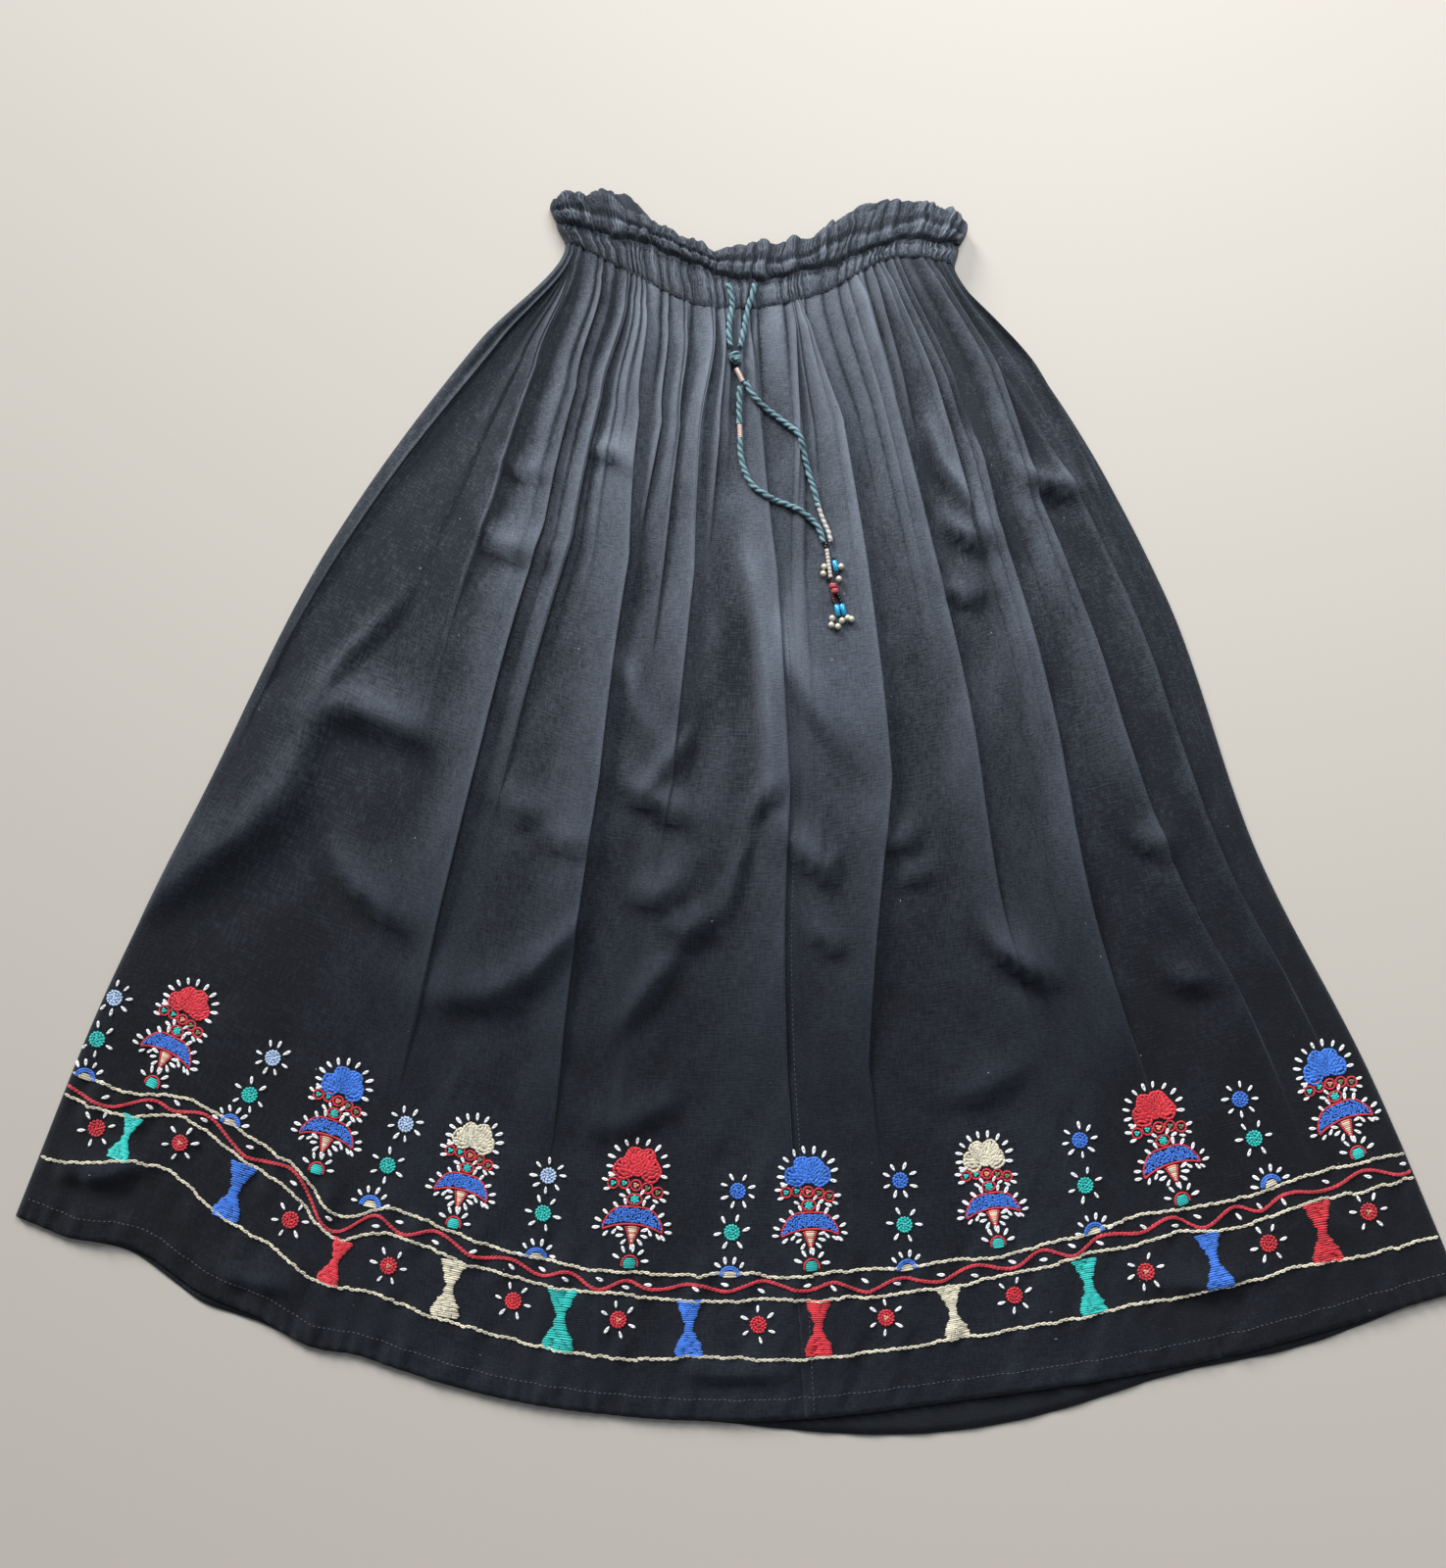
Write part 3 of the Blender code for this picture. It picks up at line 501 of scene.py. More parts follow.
def wrinkled(x, y):
    """Height of the wrinkles in the table and of the small creases between them."""
    dent = sum(ridge_height(x, y, ridge) for ridge in RIDGES)
    for right, up, height, across, down, turn in creases:
        a = ((x - right) * math.cos(turn) + (y - up) * math.sin(turn)) / across
        b = ((y - up) * math.cos(turn) - (x - right) * math.sin(turn)) / down
        dent = dent + height * np.exp(-(a * a + b * b))
    return dent


def rippled(u, v, width):
    """Height of the faint ripples that run down the cloth."""
    soft = np.zeros_like(u)
    for k, turn in enumerate(ripple_turns):
        pitch = 30 + 9 * k
        soft += 0.010 / pitch * np.sin(pitch * (u * width) + 11 * np.cos(turn) * v + turn)
    return soft * ease((v - 0.05) / 0.2) * (0.6 + 0.4 * (1 - ease((v - 0.75) / 0.15)))


def front_spot(m, u, v):
    """The front's points for columns m at shares u and v, and how light each is painted: partly real wear,
    partly painted highlight and shade.
    """
    width = width_at(v)
    x, y = laid(u, v)
    top = np.interp(v, SWELLS[:, 0], SWELLS[:, 1])
    small, between = gathers(m, v)
    small = small * np.interp(v, SWELLS[:, 0], SWELLS[:, 2])
    fold, slip, rubbed = pleated(u, v, width)
    dent = wrinkled(x, y)
    soft = rippled(u, v, width)
    drawn = 0.0008 * sum(np.exp(-((v - line) / 0.011) ** 2) for line in DRAWN_ROWS)
    drawn *= np.sin(width * u * 340 + 3 * np.sin(11 * u)) + np.sin(width * u * 197 + 25 * v)
    from_seam = np.abs(u - pleat_line(PLEATS[SEAM], v)) * width
    groove = -SEAM_GROOVE * np.exp(-(from_seam / 0.0012) ** 2)
    folded = ease((v - 1 + HEM_BAND + 0.004) / 0.004)
    hem = folded * (HEM_STEP + 0.00035 * np.sin(640 * u + 1.5 * np.sin(37 * u)))
    side = rounded(u, v, 0.0055 + 0.004 * ease((0.1 - v) / 0.1))
    height = top + small + fold + dent + soft + groove + hem + drawn
    height = SIDE_HEIGHT + np.maximum(height - SIDE_HEIGHT, 0.0006) * side
    x, y = laid(u + (slip + 0.25 * small) * side / width, v)
    # sides makes the cloth darker towards both side edges, most near the waist; between puts painted shade
    # in the lines between gathers.
    sides = (1 - ease(np.minimum(u, 1 - u) / 0.31)) * (0.24 + 0.27 * (1 - ease((v - 0.10) / 0.40)))
    lightness = (WEAR_AND_SHADE.base + WEAR_AND_SHADE.fold * fold + WEAR_AND_SHADE.gather * (small - GATHER_MIDDLE) + WEAR_AND_SHADE.dent * dent
            + WEAR_AND_SHADE.ripple * soft + WEAR_AND_SHADE.rubbed * rubbed - WEAR_AND_SHADE.between * between)
    return np.column_stack([x, y, height]), lightness - sides


def panel_place(first, last):
    """A placing function for the columns from one share of the front to another."""
    def place(across, down):
        m = first + (last - first) * across
        v = down_share(down, 0.35)
        return front_spot(m, along_columns(m, v), v)
    return place


black_cotton = cotton("black_cotton", (paint(44, 49, 57), paint(140, 149, 162)),
                      (paint(13, 15, 21), paint(50, 57, 70)))
seam_share = LINE_SHARES[SEAM + 1]
left_columns = int(CELLS[:SEAM + 2].sum())
right_columns = int(CELLS[SEAM + 2:].sum())
front_panels = []
for name, node_name, columns, first, last in (
        ("skirt_front_left", "front_left", left_columns, 0.0, seam_share),
        ("skirt_front_right", "front_right", right_columns, seam_share, 1.0)):
    panel = sheet_of_cotton(name, columns, 125, (0.55, LENGTH), panel_place(first, last), black_cotton)
    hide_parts(node_name)
    front_panels.append(panel)


# The drawstring channel and the frill
# The panels' upper edge is folded over and stitched twice, which leaves a channel for the
# drawstring and a gathered frill in two tiers above it. Both go round front and back.
Tier = namedtuple("Tier", "v top gather")
CHANNEL_TIERS = np.array([Tier(*row) for row in (
    (-0.0252, 0.0098, 0.0034), (-0.0225, 0.0104, 0.0042), (-0.0160, 0.0110, 0.0052),
    (-0.0080, 0.0110, 0.0054), (-0.0030, 0.0106, 0.0050), (-0.0008, 0.0100, 0.0042),
    (0.0010, 0.0092, 0.0034),
)])
FRILL_TIERS = np.array([Tier(*row) for row in (
    (-0.0560, 0.0086, 0.0040), (-0.0525, 0.0098, 0.0058), (-0.0450, 0.0108, 0.0060),
    (-0.0400, 0.0096, 0.0042), (-0.0355, 0.0116, 0.0076), (-0.0295, 0.0112, 0.0074),
    (-0.0258, 0.0096, 0.0036), (-0.0240, 0.0088, 0.0024),
)])
FRILL_SEAM = -0.0248
WAVER_MIDDLE = -0.0245
FRILL_MIDDLE = -0.038
FRILL_CORNER = 0.045
BAND_OVERLAP = 0.012
BAND_ROUND = 0.035
BAND_CUT = 0.90
FINE_GATHERS = 185
BACK_STRIPS = [Drop(0.180, 0.160, 0.0080), Drop(0.760, 0.170, 0.0080)]


def ruffle(seed, count, spread):
    """Seeded gathers for a band: their edges, and each one's size, skew and lean."""
    draw = np.random.default_rng(seed)
    edges = np.cumsum(draw.uniform(1 - spread, 1 + spread, count))
    edges = np.concatenate([[0.0], edges / edges[-1]])
    return edges, draw.uniform(0.35, 1.0, count), draw.uniform(0.6, 2.4, count), draw.uniform(-1, 1, count)


def ruffled(across, ruffles):
    """Height of seeded gathers at shares across, and each point's gather."""
    edges, size, skew = ruffles[:3]
    i = np.clip(np.searchsorted(edges, across, side="right") - 1, 0, len(size) - 1)
    t = np.clip((across - edges[i]) / (edges[i + 1] - edges[i]), 0.0, 1.0)
    return size[i] * np.sin(np.pi * t ** skew[i]) ** 0.6, i


def band_place(band):
    """A placing function for a gathered band; band.lower brings it down for the back."""
    tiers, seed, broad = band.tiers, band.seed, band.broad
    fine = ruffle(seed + 1, FINE_GATHERS, 0.75)
    middles = (broad[0][1:] + broad[0][:-1]) / 2

    def place(across, down):
        v = tiers[0, 0] + (tiers[-1, 0] - tiers[0, 0]) * down
        loose = ease(1.15 * (1 - down)) if band.free_edge else 0 * v
        u = -BAND_OVERLAP + (1 + 2 * BAND_OVERLAP) * across
        bend = 0.004 * np.sin(160 * v + 23 * u + seed) + 0.002 * np.sin(330 * v + 61 * u)
        if not band.free_edge:
            bend *= np.clip(-v / 0.02, 0.0, 1.0)
        large, i = ruffled(np.clip(across + bend, 0.0, 1.0), broad)
        fine_bend = 0.6 * bend + 0.002 * np.sin(500 * v + 90 * u)
        small = ruffled(np.clip(across + fine_bend, 0.0, 1.0), fine)[0]
        crimp = 0.50 * large + 0.50 * small * (0.5 + 0.5 * large)
        lean = np.interp(across, middles, broad[3])
        step = 0.0030 * lean + 0.0020 * np.sin(31 * u + seed) + 0.0011 * np.sin(83 * u)
        v_laid = v + loose * (step - 0.0016 * large) / LENGTH
        if band.free_edge:
            for strip in BACK_STRIPS if band.lower < 1 else ():
                v_laid = v_laid - loose * strip.drop / LENGTH * hump(u - strip.u, strip.half_width)
            corner = np.clip(1 - np.minimum(across, 1 - across) / FRILL_CORNER, 0.0, 1.0)
            v_laid = FRILL_MIDDLE + (v_laid - FRILL_MIDDLE) * np.sqrt(1 - 0.85 * corner ** 2.2)
        else:
            u = 0.5 + (u - 0.5) * (1 - 0.020 * ease(1.3 * down - 0.3))
        waver = np.sin(19 * u) + 0.6 * np.sin(47 * u + 1) + 0.5 * np.sin(101 * u)
        v_laid = v_laid + 0.0017 * waver * hump(v - WAVER_MIDDLE, 0.020)
        level = v + (0.0012 * np.sin(27 * u + seed) + 0.0012 * lean) * np.sin(np.pi * down)
        top = np.interp(level, tiers[:, 0], tiers[:, 1]) * band.lower
        puff = np.interp(level, tiers[:, 0], tiers[:, 2]) * crimp
        inward = np.clip(np.minimum(across, 1 - across) / BAND_ROUND, 0.0, 1.0)
        side = np.sqrt(1 - (1 - inward) ** 2)
        height = SIDE_HEIGHT + (top + puff - SIDE_HEIGHT) * side
        x, y = laid(np.clip(u + 0.5 * puff * broad[3][i], -0.02, 1.02), v_laid)
        # Painted shade: darker in the hollow under the frill's seam, towards the left end and over the
        # whole frill; the puffs are painted lighter on top and darker between, and the band darker to the
        # left.
        painted_shade = 0.35 * hump(v - FRILL_SEAM, 0.008) + 0.16 * (1 - ease(u / 0.40))
        if band.free_edge:
            painted_shade = painted_shade + 0.16
        return np.column_stack([x, y, height]), -0.10 + 0.14 * u + 160 * puff - painted_shade
    return place


waist_shares = along_columns(gather_edges, 0 * gather_edges)
skirt_gathers = ((waist_shares + BAND_OVERLAP) / (1 + 2 * BAND_OVERLAP),
                 0.35 + 0.65 * gather_size, gather_skew, chance.uniform(-1.0, 1.0, GATHERS))
Band = namedtuple("Band", "name node tiers seed broad lower free_edge columns rows material slot")
FRONT, BACK = (black_cotton, "cotton"), (black_back, "cotton_back")
BANDS = [Band(*row) for row in (
    ("channel_front", "casing_front", CHANNEL_TIERS, 3, skirt_gathers, 1.0, False, 660, 24, *FRONT),
    ("channel_back", "casing_back", CHANNEL_TIERS, 5, ruffle(4, 40, 0.5), 0.42, False, 300, 12, *BACK),
    ("frill_front_ruffle", "frill_front", FRILL_TIERS, 8, ruffle(8, 36, 0.6), 1.0, True, 660, 28, *FRONT),
    ("frill_back_ruffle", "frill_back", FRILL_TIERS, 13, ruffle(13, 30, 0.6), 0.42, True, 300, 18, *BACK),
)]
for band in BANDS:
    depth = (band.tiers[-1, 0] - band.tiers[0, 0]) * LENGTH
    piece = sheet_of_cotton(band.name, band.columns, band.rows, (BAND_CUT, depth), band_place(band),
                            band.material)
    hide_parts(band.node)


# The stitching
# Black thread holds the channel along both its edges, the felled centre seam and the hem.
# Each stitch is drawn in, so the thread shows as a row of short dashes.
Shape = namedtuple("Shape", "points faces")
Stitch = namedtuple("Stitch", "spot way length width")
Batch = namedtuple("Batch", "shape frames material")
FROM_ABOVE = 0.2
SEAM_THREAD = 0.0006
FOOT_SHARE = 0.35    # of a stitch's length, from its middle to where it meets the cloth
SEAT_SHARE = 0.28    # of its height, from the cloth to its middle

cloth_top = bmesh.new()
for piece in (*front_panels, bpy.data.objects["channel_front"]):
    cloth_top.from_mesh(piece.data)
cloth_tree = BVHTree.FromBMesh(cloth_top)
cloth_top.free()


def touch(spot):
    """The cloth's height under a spot, a complex number seen from above."""
    hit = cloth_tree.ray_cast(Vector((spot.real, spot.imag, FROM_ABOVE)), Vector((0.0, 0.0, -1.0)))
    return hit[0].z if hit[0] else 0.0


def shape_of(net):
    """The points and faces of a small shape, to be repeated."""
    net.verts.index_update()
    points = np.array([vert.co[:] for vert in net.verts])
    faces = [[vert.index for vert in face.verts] for face in net.faces]
    net.free()
    return Shape(points, faces)


def stitch_shape():
    """One stitch of thread, 2 units long, wide and high, with full rounded ends."""
    net = bmesh.new()
    bmesh.ops.create_uvsphere(net, u_segments=6, v_segments=4, radius=1.0)
    for vert in net.verts:
        x, y, z = vert.co
        vert.co = (math.copysign(abs(z) ** 0.7, z), x * 1.15, y * 1.15)
    return shape_of(net)


def link_shape():
    """One link of chain stitch, 2 units long and wide: a loop of thread, narrower at its start."""
    net = bmesh.new()
    bmesh.ops.create_grid(net, x_segments=12, y_segments=4, size=0.5)
    for vert in net.verts:
        turn = (vert.co.x + 0.5) * 2 * math.pi
        around = (vert.co.y + 0.5) * 2 * math.pi
        reach = 0.44 * math.cos(around)
        vert.co = ((0.58 + reach) * math.cos(turn),
                   (0.55 + reach) * math.sin(turn) * (0.80 + 0.20 * math.cos(turn)),
                   math.sin(around))
    bmesh.ops.remove_doubles(net, verts=net.verts[:], dist=1e-5)
    bmesh.ops.recalc_face_normals(net, faces=net.faces[:])
    return shape_of(net)


STITCH_SHAPE = stitch_shape()
LINK_SHAPE = link_shape()


def seated(stitches, thick):
    """Frames for stitches: each lies along the cloth between its own two ends, if both are on it."""
    frames = []
    for stitch in stitches:
        reach = FOOT_SHARE * stitch.length
        start, end = touch(stitch.spot - reach * stitch.way), touch(stitch.spot + reach * stitch.way)
        if not start or not end:
            continue
        ahead = np.array([stitch.way.real, stitch.way.imag, (end - start) / (2 * reach)])
        ahead /= np.linalg.norm(ahead)
        side = np.cross((0.0, 0.0, 1.0), ahead)
        side /= np.linalg.norm(side)
        height = min(thick, 0.8 * stitch.width)
        spot = (stitch.spot.real, stitch.spot.imag, (start + end) / 2 + SEAT_SHARE * height)
        frames.append((spot, ahead * stitch.length / 2, side * stitch.width / 2,
                       np.cross(ahead, side) * height / 2))
    return np.array(frames)


def tiled(name, batches):
    """One joined mesh that repeats small shapes, every copy in a frame of its own."""
    tones = np.random.default_rng(len(name))
    spots, corners, slots, tone = [], [], [], []
    first = 0
    for slot, batch in enumerate(batches):
        count, size = len(batch.frames), len(batch.shape.points)
        copies = np.einsum("pk,fkj->fpj", batch.shape.points, batch.frames[:, 1:])
        spots.append((copies + batch.frames[:, None, 0]).reshape(-1, 3))
        for _ in range(count):
            corners += [[first + corner for corner in face] for face in batch.shape.faces]
            first += size
        slots += [slot] * (count * len(batch.shape.faces))
        tone.append(np.repeat(tones.uniform(0.0, 1.0, count), size))
    mesh = bpy.data.meshes.new(name)
    mesh.from_pydata(np.concatenate(spots).tolist(), [], corners)
    mesh.attributes.new("tone", "FLOAT", "POINT").data.foreach_set("value", np.concatenate(tone))
    mesh.polygons.foreach_set("material_index", slots)
    return placed(name, mesh, *[batch.material for batch in batches])


def darker(colour, share):
    """A colour taken down to a share of itself."""
    return tuple(share * part for part in colour[:3]) + (1.0,)


def own_noise(tree, scale):
    """Fine noise on a piece's own coordinates, as an output socket."""
    place = node(tree, "ShaderNodeTexCoord").outputs["Object"]
    return node(tree, "ShaderNodeTexNoise", in_0=place, in_2=scale, in_3=3.0).outputs[0]


FIBRES = 1100.0
SHADED = 0.42    # a thread's darkest tone, as a share of its lightest


def thread(name, colour, rough=0.5, shaded=SHADED):
    """Stranded embroidery cotton: each stitch a slightly different tone, with fine fibres."""
    material, tree = new_material(name, {
        "Roughness": rough, "Specular IOR Level": 0.35, "Sheen Weight": 0.25})
    tone = node(tree, "ShaderNodeAttribute", attribute_name="tone").outputs["Fac"]
    fibre = own_noise(tree, FIBRES)
    lightness = maths(tree, "ADD", maths(tree, "MULTIPLY", tone, 0.75),
                 maths(tree, "MULTIPLY", maths(tree, "SUBTRACT", fibre, 0.22), 0.95))
    cover(tree, mixed(tree, lightness, darker(colour, shaded), colour), fibre, 0.5, 0.0002)
    return material


def at(u, v):
    """Complex spots seen from above for shares u and v."""
    x, y = laid(np.atleast_1d(u).astype(float), np.atleast_1d(v).astype(float))
    return x + 1j * y


def distances(line):
    """How far along a line each of its points is, seen from above or in space."""
    steps = np.diff(line, axis=0)
    lengths = np.abs(steps) if steps.ndim == 1 else np.linalg.norm(steps, axis=1)
    return np.concatenate([[0.0], np.cumsum(lengths)])


def paced(line, step):
    """Spots a step apart along a line of complex points, and the way on at each."""
    along = distances(line)
    count = max(1, round(along[-1] / step))
    places = (np.arange(count) + 0.5) * along[-1] / count
    ways = np.interp(places + 0.4 * step, along, line) - np.interp(places - 0.4 * step, along, line)
    return np.interp(places, along, line), ways / np.abs(ways)


def run_stitches(line, step, share, width):
    """A row of running stitches along a line; share is how much of a step shows."""
    return [Stitch(spot, way, share * step, width) for spot, way in zip(*paced(line, step))]


def sewn_rows(*lines):
    """Frames for rows of running stitches, each a line, a step, a share and a width."""
    return seated(sum((run_stitches(*line) for line in lines), []), SEAM_THREAD)


across_row = np.linspace(0.004, 0.996, 700)
down_row = np.linspace(0.004, 0.994, 300)
seam_line = at(pleat_line(PLEATS[SEAM], down_row), down_row)
foot_v = np.interp(across_row, skirt_gathers[0], np.append(skirt_gathers[3], 0.0)) * 0.0014 - 0.0002
tiled("seam_and_hem_stitches", [
    Batch(STITCH_SHAPE, sewn_rows((at(across_row, foot_v), 0.0036, 0.66, 0.0009),
                                  (at(across_row, 0 * across_row - 0.0225), 0.0034, 0.62, 0.0008)),
          thread("black_thread", paint(26, 28, 33), 0.6)),
    Batch(STITCH_SHAPE, sewn_rows((at(across_row, 0 * across_row + 1 - HEM_BAND), 0.0034, 0.60, 0.0006),
                                  (seam_line + 0.0065, 0.0034, 0.60, 0.0006)),
          thread("grey_thread", paint(74, 78, 86), 0.6)),
])


# The embroidery
# Stranded cotton in traditional folk motifs, worked by hand over the lower part of the front:
# three lines of chain stitch with a red vine between the upper two, satin hourglasses and
# suns in the border below, and stacks of stars and flowers that stand on the top line.
TOP_CHAIN = np.array([
    (0.000, 0.869), (0.048, 0.867), (0.110, 0.859), (0.174, 0.869), (0.203, 0.885), (0.241, 0.874),
    (0.320, 0.874), (0.414, 0.877), (0.506, 0.874), (0.569, 0.877), (0.667, 0.880), (0.748, 0.875),
    (0.814, 0.871), (0.862, 0.877), (0.950, 0.874), (1.000, 0.878),
])
LOW_CHAIN = np.array([
    (0.000, 0.943), (0.063, 0.926), (0.128, 0.934), (0.185, 0.944), (0.221, 0.946), (0.297, 0.946),
    (0.379, 0.952), (0.505, 0.947), (0.562, 0.948), (0.659, 0.946), (0.774, 0.943), (0.852, 0.945),
    (0.912, 0.946), (1.000, 0.952),
])
CHAIN_GAP = 0.021
VINE_DROP = 0.0108
FLOWER_TALL = 72.0
UPRIGHT_SHARE = 0.04
UPRIGHT_TALL = 31.0    # the same share of the skirt's length in millimetres
ROW_REACH = 7.5
FILLED_RADIUS = 4.6
FLAT_STITCH = 0.0014
LINK = 0.0013
HOURGLASS_TALL = 40.0
HOURGLASS_HALVES = np.array([(0.0, 9.6), (0.08, 10.4), (0.22, 8.8), (0.42, 3.9), (0.58, 3.1),
                             (0.82, 6.8), (1.0, 9.8)])
Motif = namedtuple("Motif", "colour top_u top_v foot_u foot_v")
HOURGLASSES = [Motif(*row) for row in (
    ("teal", 0.054, 0.888, 0.053, 0.926), ("blue", 0.136, 0.884, 0.132, 0.934),
    ("red", 0.214, 0.906, 0.208, 0.945), ("cream", 0.294, 0.896, 0.292, 0.945),
    ("teal", 0.374, 0.898, 0.373, 0.951), ("blue", 0.466, 0.897, 0.466, 0.945),
    ("red", 0.560, 0.899, 0.558, 0.947), ("cream", 0.655, 0.902, 0.657, 0.945),
    ("teal", 0.755, 0.897, 0.754, 0.943), ("blue", 0.845, 0.898, 0.844, 0.944),
    ("red", 0.926, 0.897, 0.921, 0.947),
)]
SUNS = [
    (0.031, 0.904), (0.092, 0.901), (0.176, 0.912), (0.249, 0.919), (0.339, 0.916), (0.415, 0.918),
    (0.516, 0.917), (0.608, 0.920), (0.701, 0.916), (0.796, 0.917), (0.885, 0.918), (0.959, 0.916),
]
Stars = namedtuple("Stars", "colour top middle line")
STACKS = [Stars(*row) for row in (
    ("pale", (0.009, 0.794), (0.009, 0.833), (0.011, 0.864)),
    ("pale", (0.134, 0.789), (0.126, 0.828), (0.119, 0.856)),
    ("pale", (0.242, 0.798), (0.235, 0.837), (0.228, 0.869)),
    ("pale", (0.355, 0.803), (0.354, 0.836), (0.352, 0.871)),
    ("blue", (0.503, 0.801), (0.498, 0.837), (0.496, 0.871)),
    ("blue", (0.630, 0.802), (0.629, 0.841), (0.627, 0.876)),
    ("blue", (0.772, 0.796), (0.768, 0.835), (0.767, 0.872)),
    ("blue", (0.899, 0.796), (0.899, 0.831), (0.900, 0.868)),
)]
FLOWERS = [Motif(*row) for row in (
    ("red", 0.063, 0.775, 0.058, 0.861), ("blue", 0.190, 0.783, 0.185, 0.866),
    ("cream", 0.295, 0.787, 0.289, 0.870), ("red", 0.424, 0.782, 0.421, 0.874),
    ("blue", 0.558, 0.786, 0.557, 0.874), ("cream", 0.697, 0.791, 0.696, 0.874),
    ("red", 0.833, 0.784, 0.835, 0.871), ("blue", 0.968, 0.787, 0.967, 0.872),
)]
THREADS = {name: thread(name + "_thread", paint(*colour), shaded=shaded) for name, colour, shaded in (
    ("cream", (230, 222, 198), SHADED), ("red", (224, 44, 60), SHADED), ("blue", (58, 126, 232), SHADED),
    ("teal", (34, 200, 192), 0.55), ("pale", (186, 210, 244), 0.55),
    ("salmon", (236, 150, 122), SHADED), ("white", (252, 253, 255), 0.80),
    ("dull_red", (206, 48, 66), SHADED), ("olive", (120, 118, 84), SHADED),
)}
sewn = {colour: [] for colour in THREADS}
links = {colour: [] for colour in THREADS}
hand = np.random.default_rng(31)


def motif_axes(foot, head, tall):
    """Places a motif: a function from its own millimetres, right and up, to spots on the cloth."""
    start, end = at(*foot)[0], at(*head)[0]
    turn = (end - start) / (1j * tall)

    def to(point):
        return start + np.asarray(point) * turn
    return to


def upright(spot):
    """The axes of a motif that stands straight up from a spot."""
    return motif_axes(spot, (spot[0], spot[1] - UPRIGHT_SHARE), UPRIGHT_TALL)


def work(pile, to, spot, way, length, width):
    """Adds one stitch over a spot of a motif, pointing along way; its sizes are in metres."""
    a, b = to(np.array([spot - way, spot + way]))
    pile.append(Stitch((a + b) / 2, (b - a) / abs(b - a), length, width))


def turned(spread, middle=0.0):
    """A direction that strays by chance from straight on."""
    return np.exp(1j * hand.normal(middle, spread))


def arc(middle, radius, count, start=0.0, stop=2 * np.pi):
    """Points round a middle, from one angle to another."""
    return middle + radius * np.exp(1j * np.linspace(start, stop, count))


def petals(to, spots, middle, length=5.6, width=2.9):
    """Detached white links round a middle, each pointing away from it."""
    for spot in spots:
        way = (spot - middle) / abs(spot - middle) * turned(0.12)
        size = 0.001 * hand.uniform(0.88, 1.1)
        work(links["white"], to, spot, way, length * size, width * size)


def outline(colour, to, line, step=1.9, width=1.25):
    """Stem stitch along a line."""
    for spot, way in zip(*paced(to(line), 0.001 * step)):
        sewn[colour].append(Stitch(spot, way * turned(0.06, 0.18), 0.0014 * step, 0.001 * width))


def row(colour, to, left, right, width=1.55):
    """A row of flat stitches laid end to end from left to right."""
    count = max(1, round(abs(right - left) / ROW_REACH))
    cuts = np.linspace(0.0, 1.0, count + 1)
    cuts[1:-1] += hand.uniform(-0.45, 0.45, count - 1) / count
    ends = to(left + cuts * (right - left))
    for a, b in zip(ends[:-1], ends[1:]):
        reach = abs(b - a)
        sewn[colour].append(Stitch((a + b) / 2, (b - a) / reach, reach * 1.12, 0.001 * width))


def half_round(colour, to, middle, heights, width=1.55):
    """Rows at the given heights that fill a small round about a middle."""
    for up in heights:
        half = math.sqrt(FILLED_RADIUS ** 2 - (up - middle) ** 2)
        row(colour, to, complex(-half, up), complex(half, up), width)


def seeds(colour, to, corners, inside):
    """Small stitches laid every way over a part, as a seeded filling."""
    low, high = corners
    pitch = 1.5
    for up in np.arange(low.imag, high.imag, pitch):
        for right in np.arange(low.real, high.real, 1.15 * pitch):
            point = right + 1j * up + complex(*hand.uniform(-0.35, 0.35, 2)) * pitch
            if inside(point):
                work(sewn[colour], to, point, np.exp(1j * hand.uniform(0.0, np.pi)), 0.0024, 0.0013)


def disc(colour, to, middle, radius, heart=None):
    """A round of stitches worked from its middle outwards, whose first ring may be a heart."""
    rounds = max(1, round(radius / 1.7))
    for ring in range(rounds):
        reach = radius * (ring + 0.55) / rounds
        count = max(3, round(2 * math.pi * reach / 2.1))
        kind = heart if heart and ring == 0 else colour
        for k in range(count):
            out = np.exp(2j * np.pi * (k + 0.5 * (ring % 2)) / count)
            work(sewn[kind], to, middle + reach * out, out * turned(0.25, 0.9), 0.0027, 0.0016)


def sun(colour, to, middle, radius, rays, turn, heart=None):
    """A disc with white rays round it."""
    disc(colour, to, middle, radius, heart)
    angles = turn + 2 * np.pi * np.arange(rays) / rays + hand.normal(0.0, 0.07, rays)
    petals(to, middle + (radius + 4.6) * np.exp(1j * angles), middle, 5.6, 2.7)


def hourglass(motif):
    """Satin rows between two lines: wide at both ends, narrow above the middle."""
    to = motif_axes((motif.foot_u, motif.foot_v), (motif.top_u, motif.top_v), HOURGLASS_TALL)
    for up in np.arange(0.7, HOURGLASS_TALL, 1.5):
        half = np.interp(up / HOURGLASS_TALL, *HOURGLASS_HALVES.T) + hand.uniform(-0.5, 0.5)
        sway = 0.4 * math.sin(0.9 * up)
        row(motif.colour, to, complex(sway - half, up), complex(sway + half, up + hand.uniform(-0.3, 0.3)))


def arch(half, side, middle, blunt):
    """An arch from one end, -half, to the other: side is its ends' height, middle its own."""
    right = half * np.sin(np.linspace(-np.pi / 2, np.pi / 2, 44))
    return right + 1j * (middle + (side - middle) * np.abs(right / half) ** blunt)


